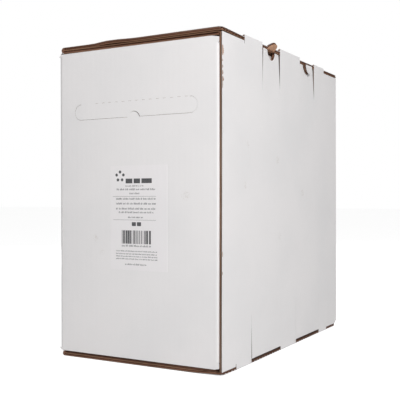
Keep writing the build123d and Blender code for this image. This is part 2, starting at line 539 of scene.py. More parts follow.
# The right panel's dents: Y and Z, reach and depth, and the radius of the mark left on the liner.
RIGHT_DENTS = (
    (-125.8, 269.1, 9.0, 0.45, 6.0),
    (-133.7, 219.7, 8.0, 0.4, 6.0),
    (51.2, 211.8, 14.0, 0.5, 8.0),
    (-29.2, 153.4, 12.0, 0.4, 7.0),
    (-36.4, 254.4, 12.0, 0.35, 7.0),
)
RIGHT_SPOTS = tuple(((0.12, y * MM, z * MM), mark * MM) for y, z, _, _, mark in RIGHT_DENTS)
WHITE_X = white_paper("white_liner_front", Grain.ACROSS_X, FRONT_SPOTS)
WHITE_Y = white_paper("white_liner_side", Grain.ACROSS_Y, RIGHT_SPOTS)
WHITE_Z = white_paper("white_liner_plain", Grain.ACROSS_Z)
KRAFT_X = kraft_paper("kraft_liner_front", (0.33, 0.18, 0.11), (0.28, 0.15, 0.09), Grain.ACROSS_X)
KRAFT_Y = kraft_paper("kraft_liner_side", (0.33, 0.18, 0.11), (0.28, 0.15, 0.09))
# Painted light: a paler copy of the inner kraft liner, for the lifted front tongue's underside, stands in for
# the light that falls on it.
KRAFT_PAINTED_LIGHT = kraft_paper("kraft_liner_painted_light", (0.6, 0.34, 0.21), (0.5, 0.27, 0.16))
TORN_PULP = kraft_paper("torn_pulp", (0.46, 0.25, 0.16), (0.2, 0.1, 0.06))
MEDIUM = kraft_paper("fluting_medium", (0.21, 0.105, 0.066), (0.15, 0.073, 0.046))
# Painted shade: a dark grey-brown fluting for the right panel, which darkens its raw edges in the slits and
# at the near edge in place of their shade.
PAINTED_SHADE_FLUTING = kraft_paper("painted_shade_fluting", (0.2, 0.15, 0.122), (0.13, 0.095, 0.075))
# Painted shade: a darker copy of the kraft, on the bottom walls' inner liners and the rear tongue's fluting,
# darkens their raw edges in place of the shade on them.
PAINTED_SHADE_KRAFT = kraft_paper("painted_shade_kraft", (0.135, 0.07, 0.045), (0.1, 0.052, 0.034))
CORE = kraft_paper("crushed_board", (0.19, 0.092, 0.055), (0.14, 0.068, 0.042))
PLYWOOD = PlywoodFinish("birch_plywood", Slot.PLYWOOD)
CARD_TUBE = WoundCardFinish("wound_card", Slot.CARD)
JACKET = PlasticFinish("grey_jacket", Slot.JACKET, (0.36, 0.37, 0.385), (0.42, 0.43, 0.44), 0.35)
AXLE_PLASTIC = PlasticFinish("black_axle", Slot.AXLE, (0.035, 0.037, 0.04), (0.06, 0.062, 0.065), 0.4)
BUSH_PLASTIC = PlasticFinish("natural_bush", Slot.BUSH, (0.78, 0.76, 0.69), (0.72, 0.7, 0.63), 0.4)
ZINC = ZincFinish("zinc_plate", Slot.ZINC)
INK = InkFinish("print_ink", Slot.LABEL)
LABEL_STOCK = PaperFinish(
    name="label_stock", slot=Slot.LABEL, base=(0.795, 0.772, 0.778), mottle=(0.775, 0.755, 0.763),
    fleck=(0.7, 0.7, 0.72), fleck_share=0.12, grain=Grain.ACROSS_X, washboard=0.000025, gloss=0.3,
)


# ---- shared shop tools


class Facing(Enum):
    """Which way a board's outer face looks.

    The three vectors are the axis that the flutes repeat along, the axis that they run along, and
    the way out of the board.
    """

    RIGHT = ((0, 1, 0), (0, 0, 1), (1, 0, 0))
    LEFT = ((0, 1, 0), (0, 0, 1), (-1, 0, 0))
    FRONT = ((1, 0, 0), (0, 0, 1), (0, -1, 0))
    BACK = ((1, 0, 0), (0, 0, 1), (0, 1, 0))
    UP = ((0, 1, 0), (1, 0, 0), (0, 0, 1))
    DOWN = ((0, 1, 0), (1, 0, 0), (0, 0, -1))
    UP_OFF_BACK = ((1, 0, 0), (0, 1, 0), (0, 0, 1))
    DOWN_OFF_BACK = ((1, 0, 0), (0, 1, 0), (0, 0, -1))

    def stand(self) -> Matrix:
        """Returns the matrix that carries a board from the bench to its place."""
        across, along, out = (Vector(axis) for axis in self.value)
        return Matrix((across, along, out)).transposed().to_4x4()

    def grain(self) -> Grain:
        """Returns the axis of the board's washboarding."""
        return Grain.ACROSS_X if self.value[0][0] else Grain.ACROSS_Y


def box_mm(node: str) -> tuple[Vector, Vector]:
    """Returns the lowest and highest corner of a CAD node, in millimetres."""
    low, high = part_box(node)
    return low / MM, high / MM


def arc(centre: Point, radius: float, start: float, end: float, steps: int) -> Loop:
    """Draws a round stretch of an outline.

    Args:
        centre: The arc's centre.
        radius: Its radius.
        start: First angle in degrees.
        end: Last angle in degrees.
        steps: Number of chords.

    Returns:
        The points, both ends included.
    """
    angles = [math.radians(start + (end - start) * i / steps) for i in range(steps + 1)]
    return [(centre[0] + radius * math.cos(a), centre[1] + radius * math.sin(a)) for a in angles]


def oblong(first: Point, second: Point) -> Loop:
    """Returns a rectangle's outline between two opposite corners."""
    return [first, (second[0], first[1]), second, (first[0], second[1])]


def circle(centre: Point, radius: float, steps: int = 48) -> Loop:
    """Returns a full circle's outline."""
    return arc(centre, radius, 0.0, 360.0, steps)[:-1]


def fill(bm: Bench, loops: Iterable[Loop], level: float) -> None:
    """Fills outlines with faces; a loop inside another is a hole.

    Args:
        bm: The mesh to fill in.
        loops: The outlines.
        level: Height of the faces.
    """
    edges = []
    for loop in loops:
        verts = [bm.verts.new((a, b, level)) for a, b in loop]
        edges += [bm.edges.new(pair) for pair in zip(verts, verts[1:] + verts[:1])]
    bmesh.ops.triangle_fill(bm, edges=edges, use_beauty=True, use_dissolve=False)


def cut_across(bm: Bench, places: Iterable[float], normal: Vector) -> None:
    """Cuts a mesh along parallel planes without removing anything.

    Args:
        bm: The mesh.
        places: Where each plane stands along the normal.
        normal: The planes' normal.
    """
    for place in places:
        geometry = bm.verts[:] + bm.edges[:] + bm.faces[:]
        bmesh.ops.bisect_plane(bm, geom=geometry, dist=TOUCH, plane_co=normal * place, plane_no=normal)


def steps_between(low: float, high: float, step: float) -> list[float]:
    """Returns evenly spaced places strictly between two ends."""
    count = max(1, round((high - low) / step))
    return [low + (high - low) * i / count for i in range(1, count)]


def thicken(bm: Bench, rise: float) -> None:
    """Extrudes every face upwards into a closed sheet.

    Args:
        bm: The mesh.
        rise: Thickness of the sheet.
    """
    made = bmesh.ops.extrude_face_region(bm, geom=bm.faces[:])
    risen = [item for item in made["geom"] if isinstance(item, bmesh.types.BMVert)]
    bmesh.ops.translate(bm, verts=risen, vec=(0.0, 0.0, rise))


def soften(bm: Bench, width: float, segments: int = 2, sharp: float = 0.9) -> None:
    """Bevels every edge sharper than an angle.

    Args:
        bm: The mesh.
        width: Width of the bevel.
        segments: Its segments.
        sharp: Least angle between the faces, in radians.
    """
    bm.normal_update()
    edges = [edge for edge in bm.edges if edge.is_manifold and edge.calc_face_angle() > sharp]
    bmesh.ops.bevel(
        bm, geom=edges, offset=width, segments=segments, profile=0.5, affect="EDGES", material=-1
    )


def trim(bm: Bench, point: Vector, normal: Vector) -> None:
    """Cuts off what lies beyond a plane and closes the cut.

    Args:
        bm: The mesh.
        point: A point on the plane.
        normal: The way to the part that goes.
    """
    geometry = bm.verts[:] + bm.edges[:] + bm.faces[:]
    made = bmesh.ops.bisect_plane(
        bm, geom=geometry, dist=TOUCH, plane_co=point, plane_no=normal, clear_outer=True
    )
    rim = [item for item in made["geom_cut"] if isinstance(item, bmesh.types.BMEdge)]
    bmesh.ops.holes_fill(bm, edges=rim, sides=0)


def turned(profile: Loop, height: float, segments: int = 96) -> Bench:
    """Turns a closed outline about a line along X, as on a lathe.

    Args:
        profile: Points as place along X and radius.
        height: Where the line stands on Z.
        segments: Segments of the full turn.

    Returns:
        The closed mesh.
    """
    bm = bmesh.new()
    verts = [bm.verts.new((x, 0.0, height + radius)) for x, radius in profile]
    for pair in zip(verts, verts[1:] + verts[:1]):
        bm.edges.new(pair)
    bmesh.ops.spin(
        bm,
        geom=bm.verts[:] + bm.edges[:],
        axis=(1.0, 0.0, 0.0),
        cent=(0.0, 0.0, height),
        steps=segments,
        angle=math.tau,
        use_merge=True,
        use_duplicate=False,
    )
    bmesh.ops.remove_doubles(bm, verts=bm.verts[:], dist=TOUCH)
    return bm


def plain_piece(name: str, bm: Bench, finish: Finish, smooth: bool = False) -> bpy.types.Object:
    """Turns a bench mesh into an object in metres, with its finish.

    Args:
        name: The piece's name.
        bm: The mesh in millimetres, which is used up.
        finish: The finish it gets.
        smooth: Whether its faces are shaded smooth where they nearly agree.

    Returns:
        The object, not yet on a body.
    """
    bmesh.ops.recalc_face_normals(bm, faces=bm.faces[:])
    bmesh.ops.scale(bm, vec=(MM, MM, MM), verts=bm.verts[:])
    mesh = bpy.data.meshes.new(name)
    bm.to_mesh(mesh)
    bm.free()
    mesh.materials.append(finish.material())
    piece = bpy.data.objects.new(name, mesh)
    bpy.context.scene.collection.objects.link(piece)
    if smooth:
        mesh.shade_smooth()
        mesh.set_sharp_from_angle(angle=math.radians(35.0))
    LOG.info("%s: %d faces, %s", name, len(mesh.polygons), finish.name)
    return piece


def riding_piece(
    name: str, bm: Bench, finish: Finish, body: str, smooth: bool = False
) -> bpy.types.Object:
    """Makes a piece as plain_piece does and puts it on a body."""
    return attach(plain_piece(name, bm, finish, smooth), body)


# ---- boards, folds and creases


class Skins(Enum):
    """Whether a board's outer liner is bleached. Its inner one is always brown."""

    WHITE_OUT = "bleached"
    BROWN = "brown"


@dataclass
class Board:
    """A flat panel of corrugated board: two liners with a fluted medium between them.

    The outline is drawn in the panel's own plane, as places across the flutes and along them, which
    are the frame's own coordinates on those axes. The span is the inner and the outer face's
    distance from the origin, measured outwards.
    """

    name: str
    body: str
    facing: Facing
    span: Point
    outline: Loop
    holes: list[Loop] = field(default_factory=list)
    skins: Skins = Skins.WHITE_OUT
    node: str | None = None
    warp: Callable[[Vector], Vector] | None = None
    cell: float = 8.0
    medium_finish: Finish = MEDIUM
    inner_finish: Finish | None = None
    placing: Matrix = field(default_factory=lambda: Matrix.Identity(4))
    liner: float = LINER
    medium: float = 0.3
    flute_pitch: float = 7.7
    wave_steps: int = 8
    skew: float = 0.004
    phase: float = 0.3

    def finish(self, white: bool) -> Finish:
        """Picks a liner's finish for this board's washboarding.

        Args:
            white: Whether the liner is bleached.

        Returns:
            The finish.
        """
        by_grain = {
            (Grain.ACROSS_X, True): WHITE_X,
            (Grain.ACROSS_Y, True): WHITE_Y,
            (Grain.ACROSS_X, False): KRAFT_X,
            (Grain.ACROSS_Y, False): KRAFT_Y,
        }
        return by_grain[self.facing.grain(), white]

    def extent(self, axis: int) -> Point:
        """Returns the outline's least and greatest place on one of its axes."""
        places = [point[axis] for point in self.outline]
        return min(places), max(places)

    def settle(self, bm: Bench) -> None:
        """Stands a bench mesh up in its place, warped and tilted as the board is.

        Args:
            bm: The mesh.
        """
        bmesh.ops.transform(bm, matrix=self.placing @ self.facing.stand(), verts=bm.verts[:])
        if self.warp:
            for vert in bm.verts:
                vert.co += self.warp(vert.co)

    def sheet(self, low: float, high: float) -> Bench:
        """Makes one liner between two levels.

        Args:
            low: Lower level through the board.
            high: Upper level.

        Returns:
            The liner in its place.
        """
        bm = bmesh.new()
        fill(bm, [self.outline, *self.holes], low)
        if self.warp:
            for axis in (0, 1):
                normal = Vector((1.0 - axis, float(axis), 0.0))
                cut_across(bm, steps_between(*self.extent(axis), self.cell), normal)
        thicken(bm, high - low)
        self.settle(bm)
        return bm

    def fluting(self) -> Bench:
        """Makes the waved medium, which the die has cut at a slight skew.

        Returns:
            The medium in its place.
        """
        bm = bmesh.new()
        fill(bm, [self.outline, *self.holes], 0.0)
        across = Vector((math.cos(self.skew), math.sin(self.skew), 0.0))
        low, high = self.extent(0)
        lean = max(abs(place) for place in self.extent(1)) * math.sin(self.skew)
        step = self.flute_pitch / self.wave_steps
        first = math.floor((low - lean) / step)
        last = math.ceil((high + lean) / step)
        cut_across(bm, (step * number for number in range(first, last + 1)), across)
        if self.warp:
            cut_across(bm, steps_between(*self.extent(1), self.cell * 2.0), Vector((0.0, 1.0, 0.0)))
        inner, outer = self.span[0] + self.liner, self.span[1] - self.liner
        swing = (outer - inner - self.medium) / 2.0
        for vert in bm.verts:
            turn = math.tau * (vert.co.dot(across) / self.flute_pitch + self.phase)
            vert.co.z = inner + swing * (1.0 + math.sin(turn))
        thicken(bm, self.medium)
        self.settle(bm)
        return bm

    def make(self) -> list[bpy.types.Object]:
        """Builds the board's three pieces and puts them on its body.

        Returns:
            The outer liner, the inner liner and the fluting.
        """
        inner, outer = self.span
        outer_finish = self.finish(self.skins is Skins.WHITE_OUT)
        inner_finish = self.inner_finish or self.finish(False)
        outside = self.sheet(outer - self.liner, outer)
        inside = self.sheet(inner, inner + self.liner)
        pieces = [
            riding_piece(f"{self.name}_outer_liner", outside, outer_finish, self.body),
            riding_piece(f"{self.name}_inner_liner", inside, inner_finish, self.body),
            riding_piece(f"{self.name}_fluting", self.fluting(), self.medium_finish, self.body, smooth=True),
        ]
        if self.node:
            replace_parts(pieces[0], self.node)
        return pieces


class Sweep(Enum):
    """How a fold's section stands in the frame, as the axes of its first, second and long side."""

    UPRIGHT = (0, 1, 2)
    LEVEL_Y = (0, 2, 1)

    def place(self, point: Vector, along: float) -> Vector:
        """Stands a section's point up in the frame.

        Args:
            point: The point in the section.
            along: Its place along the fold.

        Returns:
            The point in the frame.
        """
        placed = Vector((0.0, 0.0, 0.0))
        placed[self.value[0]] = point.x
        placed[self.value[1]] = point.y
        placed[self.value[2]] = along
        return placed


def corner_section(corner: Point, leg_a: Point, leg_b: Point, radius: float, board: float) -> Section:
    """Draws the section of a right-angled fold.

    Args:
        corner: Where the two outer faces would meet.
        leg_a: From the corner back along the first panel.
        leg_b: From the corner back along the second panel.
        radius: Radius of the outer face.
        board: Thickness of the board.

    Returns:
        Pairs of an outer and an inner point, from the first panel to the second.
    """
    point, first, second = Vector(corner), Vector(leg_a), Vector(leg_b)
    u, v = first.normalized(), second.normalized()
    inside = point + (u + v) * board
    centre = point + (u + v) * radius
    section = []
    for share in (0.0, 0.35, 0.7):
        outer = point + u * (first.length + (radius - first.length) * share)
        reach = first.length + (board - first.length) * share
        section.append((outer, point + u * reach + v * board))
    steps = 8
    for number in range(steps + 1):
        angle = math.pi / 2.0 * number / steps
        section.append((centre - (v * math.cos(angle) + u * math.sin(angle)) * radius, inside))
    for share in (0.3, 0.65, 1.0):
        outer = point + v * (radius + (second.length - radius) * share)
        reach = board + (second.length - board) * share
        section.append((outer, point + v * reach + u * board))
    return section


def ridge_section(edge: Point, down: float, board: float, ridge: float, reach: float) -> Section:
    """Draws the section of a wall's fold that stands up as a ridge over the wall.

    Args:
        edge: Where the wall's outer face would meet the upright panel's.
        down: 1 if the panel hangs from the wall, and -1 if it stands on it.
        board: Thickness of the wall.
        ridge: How far the ridge stands proud of the wall.
        reach: How far the ridge runs back along the wall, beyond the board.

    Returns:
        Pairs of an outer and an inner point, from the wall to the panel.
    """
    x, z = edge
    radius, steps = 1.1, 5
    peak = z + ridge * down
    inside = Vector((x - board, z - board * down))
    section = [(Vector((x - board - reach, z)), Vector((x - board - reach, z - board * down)))]
    for share in (0.35, 0.7, 1.0):
        across = x - board - reach + (board + reach - radius) * share
        section.append((Vector((across, z + ridge * down * ease(share, 0.0, 1.0))), inside.copy()))
    centre = Vector((x - radius, peak - radius * down))
    for number in range(1, steps + 1):
        angle = math.pi / 2.0 * number / steps
        outer = centre + Vector((math.sin(angle), math.cos(angle) * down)) * radius
        section.append((outer, inside.copy()))
    section.append((Vector((x, z - board * down)), inside.copy()))
    return section


def straight_section(start: Point, bend: Point, end: Point, inwards: Point) -> Section:
    """Draws the section of a crease between two panels nearly in line.

    Args:
        start: Outer face at the first panel's seam.
        bend: Outer face at the crease.
        end: Outer face at the second panel's seam.
        inwards: Through the board, from the outer to the inner face.

    Returns:
        Pairs of an outer and an inner point, from the first panel to the second.
    """
    points = [Vector(start), Vector(bend), Vector(end)]
    through = Vector(inwards)
    first, second = points[1] - points[0], points[2] - points[1]
    lean = math.atan2(second.y, second.x) - math.atan2(first.y, first.x)
    section = []
    for share in (0.0, 0.25, 0.5, 0.75, 1.0):
        turned_by = Matrix.Rotation(lean * 0.5 * share, 2)
        section.append((points[0] + first * share, points[0] + first * share + turned_by @ through))
    for share in (0.25, 0.5, 0.75, 1.0):
        turned_by = Matrix.Rotation(lean * (0.5 + 0.5 * share), 2)
        section.append((points[1] + second * share, points[1] + second * share + turned_by @ through))
    return section


@dataclass
class Fold:
    """A folded strip of board: a skin over a crushed core, swept along its crease.

    With a second body the fold is put on no body; the two points between which it would bend are
    kept but not used.
    """

    name: str
    body: str
    section: Section
    sweep: Sweep
    span: Point
    skin_finish: Finish = WHITE_Z
    core_finish: Finish = CORE
    second_body: str | None = None
    bend_from: Vector | None = None
    bend_to: Vector | None = None
    trims: list[tuple[Vector, Vector]] = field(default_factory=list)
    warp: Callable[[Vector], Vector] | None = None
    skin: float = LINER
    parts: int = 1

    def swept(self, near: float, far: float) -> Bench:
        """Sweeps one layer of the section.

        Args:
            near: Depth of the layer's outer side below the outer face.
            far: Depth of its inner side, or 0 for the inner face.

        Returns:
            The closed layer in its place.
        """
        bm = bmesh.new()
        rows = []
        for outer, inner in self.section:
            through = inner - outer
            depth = through.normalized()
            top = outer + depth * near
            low = inner if not far else outer + depth * far
            rows.append([bm.verts.new(self.sweep.place(point, self.span[0])) for point in (top, low)])
        for (a, b), (c, d) in zip(rows, rows[1:]):
            bm.faces.new((a, b, d, c))
        step = self.sweep.place(Vector((0.0, 0.0)), (self.span[1] - self.span[0]) / self.parts)
        faces = bm.faces[:]
        for _ in range(self.parts):
            made = bmesh.ops.extrude_face_region(bm, geom=faces)
            moved = [item for item in made["geom"] if isinstance(item, bmesh.types.BMVert)]
            faces = [item for item in made["geom"] if isinstance(item, bmesh.types.BMFace)]
            bmesh.ops.translate(bm, verts=moved, vec=step)
        bmesh.ops.remove_doubles(bm, verts=bm.verts[:], dist=TOUCH)
        for point, normal in self.trims:
            trim(bm, point, normal)
        if self.warp:
            for vert in bm.verts:
                vert.co += self.warp(vert.co)
        return bm

    def make(self) -> list[bpy.types.Object]:
        """Builds the skin and the core, and puts them on their body, or on none if there is a second body.

        Returns:
            The skin and the core.
        """
        layers = (
            (f"{self.name}_skin", self.swept(0.0, self.skin), self.skin_finish),
            (f"{self.name}_core", self.swept(self.skin, 0.0), self.core_finish),
        )
        pieces = []
        for name, bm, finish in layers:
            piece = plain_piece(name, bm, finish, smooth=True)
            if self.second_body:
                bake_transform(piece)
            else:
                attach(piece, self.body)
            pieces.append(piece)
        return pieces


# ---- the carton's fixed walls


def ease(value: float, low: float, high: float) -> float:
    """Returns a smooth step from 0 at low to 1 at high."""
    share = min(1.0, max(0.0, (value - low) / (high - low)))
    return share * share * (3.0 - 2.0 * share)


@dataclass
class CartonPlan:
    """Places on the carton that several of its pieces share, read from the frame.

    The flare is how far the front right edge leans out near the top and in near the foot, and the
    stretches on Y and on X that it fades over.
    """

    fold_reach: float = 7.5
    lock_reach: float = 3.0
    cut_gap: float = 0.5
    flare_out: float = 0.8
    flare_in: float = 0.35
    flare_depth: float = 70.0
    flare_width: Point = (93.0, 112.0)
    right: tuple[Vector, Vector] = field(init=False)
    left: tuple[Vector, Vector] = field(init=False)
    front: tuple[Vector, Vector] = field(init=False)
    tuck: tuple[Vector, Vector] = field(init=False)
    back: tuple[Vector, Vector] = field(init=False)
    inner_top: tuple[Vector, Vector] = field(init=False)
    inner_bottom: tuple[Vector, Vector] = field(init=False)
    pivots: dict[str, Vector] = field(init=False)

    def __post_init__(self) -> None:
        """Reads the frame."""
        self.right = box_mm("right_panel")
        self.left = box_mm("left_panel")
        self.front = box_mm("front_panel")
        self.tuck = box_mm("tuck_flap")
        self.back = box_mm("back_panel")
        self.inner_top = box_mm("top_inner_wall")
        self.inner_bottom = box_mm("bottom_inner_wall")
        self.pivots = {}

    def read_joints(self, joints: Sequence[dict]) -> None:
        """Keeps every joint's pivot in millimetres, by the joint's name."""
        for joint in joints:
            self.pivots[joint["name"]] = Vector(joint["pos_m"]) / MM

    @property
    def board(self) -> float:
        """Thickness of a wall."""
        return self.right[1].x - self.right[0].x

    @property
    def pressed(self) -> float:
        """Thickness of each bottom layer."""
        return self.right[0].z

    @property
    def top(self) -> float:
        """Height of the carton."""
        return self.right[1].z + self.board

    def flare(self, place: Vector) -> Vector:
        """Warps the carton's front right edge, which stands out at the top and is drawn in at the foot.

        Args:
            place: A place on the carton.

        Returns:
            How far the place moves.
        """
        height = place.z / self.top
        out = self.flare_out * ease(height, 0.1, 0.8)
        amount = out - self.flare_in * (1.0 - ease(height, 0.0, 0.5))
        fade = 1.0 - ease(place.y, self.right[0].y, self.right[0].y + self.flare_depth)
        return Vector((amount * fade * ease(place.x, *self.flare_width), 0.0, 0.0))


def dent(place: Vector, middle: Vector, reach: float, depth: float) -> float:
    """Returns how deep a soft round dent is at a place."""
    share = (place - middle).length / reach
    return depth * (1.0 - ease(share, 0.0, 1.0))


@dataclass
class FixedWalls:
    """The walls that stay put: right, back, both layers of the top and the bottom, and their folds.

    A warp's height comes with the stretch on X that it eases in over. The curl's pairs give the far
    end, and what is added at the near corner. A torn spot is its height up the edge, its length
    and its width.
    """

    plan: CartonPlan
    top_folds: tuple[Point, ...] = ((-134.6, -84.0), (-28.0, 42.0), (98.0, 138.0))
    bottom_folds: tuple[Point, ...] = ((-158.5, -118.0), (-28.0, 25.0), (115.0, 147.0))
    fold_radius: float = 1.6
    nick_width: float = 1.6
    nick_depth: float = 4.5
    wall_gap: float = 1.0
    ridges: tuple[float, float, float] = (2.9, 4.0, 2.7)
    ridge_reach: float = 3.0
    cut_corner: float = 1.0
    crushed_corner: tuple[float, float] = (11.0, 6.0)
    edge_recess: float = 0.8
    thinned: float = 0.9
    thinned_depth: Point = (1.0, 16.0)
    round_corner: float = 3.5
    rear_proud: float = 3.0
    tongue_radius: float = 10.8
    tongue_spare: float = 1.0
    tongue_root: float = 2.0
    tongue_shift: float = 2.0
    tongue_lift: float = 36.0
    bow_reach: float = 60.0
    bow_peak: float = 0.9
    bow_shoulder: float = 0.8
    bow_rise: Point = (-66.0, -42.0)
    bow_fall: Point = (-28.0, 0.0)
    right_bow: float = 0.3
    right_rise: Point = (5.0, 90.0)
    sag: float = 0.45
    sag_width: Point = (-112.0, -70.0)
    curl_reach: float = 40.0
    curl_lift: Point = (0.5, 0.6)
    curl_width: Point = (14.0, 30.0)
    top_lug_width: float = 50.0
    bottom_lug_width: float = 84.0
    lug_depth: float = 7.5
    lug_corner: float = 5.0
    dust_corner: float = 12.0
    roll_bore: float = 0.25
    torn_spots: tuple[tuple[float, float, float], ...] = (
        (373.5, 12.0, 5.2),
        (362.0, 3.0, 1.5),
        (354.7, 3.6, 2.2),
        (348.0, 5.0, 2.6),
        (340.3, 6.5, 3.6),
        (333.5, 7.0, 1.6),
        (140.0, 6.0, 1.2),
        (118.0, 4.0, 1.0),
    )

    def lock_windows(self) -> tuple[list[Point], list[Point]]:
        """Places the lock flaps' windows along the right panel.

        Returns:
            The top windows' spans and the bottom ones'.
        """
        gap = self.plan.cut_gap
        spans = []
        for level in ("top", "bottom"):
            boxes = [box_mm(f"{end}_{level}_lock_flap") for end in ("front", "rear")]
            spans.append([(low.y - gap, high.y + gap) for low, high in boxes])
        return spans[0], spans[1]

    def pressed_in(self, place: Vector) -> Vector:
        """Warps the right panel's face with handling dents, and thins its near edge from inside.

        Args:
            place: A place on the panel.

        Returns:
            How far the place moves.
        """
        depth = 0.0
        for y, z, reach, deep, _ in RIGHT_DENTS:
            depth += dent(place, Vector((self.plan.right[1].x, y, z)), reach, deep)
        low, high = self.plan.right
        if place.x < (low.x + high.x) / 2.0:
            depth -= self.thinned * (1.0 - ease(place.y - low.y, *self.thinned_depth))
        return self.plan.flare(place) - Vector((depth, 0.0, 0.0))

    def right_panel(self) -> None:
        """Builds the right panel, with the lock flaps' windows and the die's relief nicks."""
        low, high = self.plan.right
        top_windows, bottom_windows = self.lock_windows()
        reach = self.plan.lock_reach
        top_crease = self.plan.pivots["front_top_lock_swing"].z - reach
        bottom_crease = self.plan.pivots["front_bottom_lock_swing"].z + reach
        near = low.y + self.edge_recess
        far = high.y - self.plan.fold_reach
        foot, head = low.z, high.z
        gap = self.wall_gap
        outline: Loop = [(near, foot + gap)]
        cuts = [(a, b, bottom_crease) for a, b in bottom_windows]
        first, last = self.bottom_folds[0][0], self.bottom_folds[-1][1]
        cuts += [(first - self.nick_width, first, foot + self.nick_depth), (last, far, foot + gap)]
        for a, b, z in sorted(cuts):
            start = foot + gap if b == first else foot
            outline += [(a, start), (a, z), (b, z), (b, foot)]
        outline = outline[:-1] + [(far, head - gap)]
        cuts = [(a, b, top_crease) for a, b in top_windows]
        first, last = self.top_folds[0][0], self.top_folds[-1][1]
        cuts += [(first - self.nick_width, first, head - self.nick_depth)]
        for a, b, z in sorted(cuts, reverse=True):
            outline += [(b, head), (b, z), (a, z), (a, head)]
        outline.insert(outline.index((far, head - gap)) + 1, (last, head - gap))
        outline.insert(outline.index((last, head - gap)) + 1, (last, head))
        outline = outline[:-1] + [(first - self.nick_width, head - gap), (near, head - gap)]
        # Its fluting is painted shade: dark grey-brown on the raw edges in the slits and at the near edge.
        Board(
            name="right_panel", body="carton", facing=Facing.RIGHT, span=(low.x, high.x), outline=outline,
            node="right_panel", warp=self.pressed_in, medium_finish=PAINTED_SHADE_FLUTING, cell=7.0, phase=0.12,
        ).make()

    def back_panel(self) -> None:
        """Builds the back panel between its two vertical folds."""
        low, high = self.plan.back
        reach = self.plan.fold_reach
        right_out = self.plan.right[1].x
        outline = oblong((low.x + reach, low.z), (right_out - reach, high.z))
        Board("back_panel", "carton", Facing.BACK, (low.y, high.y), outline, node="back_panel").make()
        legs = (-reach, 0.0), (0.0, -reach)
        section = corner_section((right_out, high.y), *legs, self.fold_radius, self.plan.board)
        across, tall = self.crushed_corner
        crushed = (Vector((0.0, high.y - across, low.z)), Vector((0.0, tall, -across)))
        Fold(
            name="back_right_fold", body="carton", section=section, sweep=Sweep.UPRIGHT,
            span=(low.z, high.z - self.wall_gap), trims=[crushed],
        ).make()

    def bowed_up(self, place: Vector) -> Vector:
        """Warps the top outer wall, whose front edge is bowed up left of the middle.

        Args:
            place: A place on the wall.

        Returns:
            How far the place moves.
        """
        rise = ease(place.x, *self.bow_rise)
        peak = self.bow_peak * rise * (1.0 - ease(place.x, *self.bow_fall))
        shoulder = self.bow_shoulder * rise + self.right_bow * ease(place.x, *self.right_rise)
        fade = 1.0 - ease(place.y, self.plan.right[0].y, self.plan.right[0].y + self.bow_reach)
        return Vector((0.0, 0.0, (peak + shoulder) * fade))

    def sagged(self, place: Vector) -> Vector:
        """Warps the top inner wall: it rests on the front panel at the left and lifts to the right."""
        fade = 1.0 - ease(place.y, self.plan.right[0].y, self.plan.right[0].y + self.bow_reach)
        return Vector((0.0, 0.0, -self.sag * ease(place.x, *self.sag_width) * fade))

    def curled_up(self, place: Vector) -> Vector:
        """Warps the bottom outer wall, whose free right edge curls up, most of all at the near corner.

        Args:
            place: A place on the wall.

        Returns:
            How far the place moves.
        """
        low, high = self.plan.right
        near = 1.0 - ease(place.y, low.y, low.y + self.curl_reach)
        lift = self.curl_lift[0] + self.curl_lift[1] * near
        width = self.curl_width[0] + self.curl_width[1] * near
        return Vector((0.0, 0.0, lift * ease(place.x, high.x - width, high.x)))

    def outer_wall_outline(self, folds: tuple[Point, ...], far_cut: float) -> Loop:
        """Draws an outer wall, stepped back where folds join it to the right panel.

        Args:
            folds: The stretches that are folded.
            far_cut: How much of the far right corner is crushed away.

        Returns:
            The outline as places on Y and on X.
        """
        low, high = self.plan.right
        left = self.plan.inner_top[0].x
        roll = left + self.plan.board
        seam = low.x - self.ridge_reach
        near = self.round_corner
        bend = near * 0.3
        outline: Loop = [(low.y, roll), (low.y, high.x - near), (low.y + bend, high.x - bend)]
        outline.append((low.y + near, high.x))
        for a, b in folds:
            outline += [(a, high.x), (a, seam), (b, seam), (b, high.x)]
        roll_end = self.plan.inner_top[1].y
        outline += [(high.y - far_cut, high.x), (high.y, high.x - far_cut)]
        return outline + [(high.y, left), (roll_end, left), (roll_end, roll)]

    def outer_walls(self) -> None:
        """Builds the top and bottom outer walls and the short folds that join them to the right panel."""
        low, high = self.plan.right
        top, board, pressed = self.plan.top, self.plan.board, self.plan.pressed
        Board(
            name="top_outer_wall", body="carton", facing=Facing.UP, span=(high.z, top),
            outline=self.outer_wall_outline(self.top_folds, self.cut_corner), node="top_outer_wall",
            warp=self.bowed_up, cell=9.0, phase=0.62, skew=0.006,
        ).make()
        # Its inner liner is painted shade: a darker kraft on the bottom strip's raw edge.
        Board(
            name="bottom_outer_wall", body="carton", facing=Facing.DOWN, span=(-pressed, 0.0),
            outline=self.outer_wall_outline(self.bottom_folds, self.crushed_corner[0]),
            node="bottom_outer_wall", warp=self.curled_up, cell=9.0, inner_finish=PAINTED_SHADE_KRAFT, phase=0.7,
            skew=0.005,
        ).make()
        levels = (
            ("top", self.top_folds, top, 1.0, board, self.ridges),
            ("bottom", self.bottom_folds, 0.0, -1.0, pressed, (0.0, 0.0, 0.0)),
        )
        for level, folds, z, down, thickness, ridges in levels:
            for number, (span, ridge) in enumerate(zip(folds, ridges), start=1):
                section = ridge_section((high.x, z), down, thickness, ridge, self.ridge_reach)
                name = f"{level}_fold_{number}"
                Fold(name, "carton", section, Sweep.LEVEL_Y, span, WHITE_Y, parts=6).make()

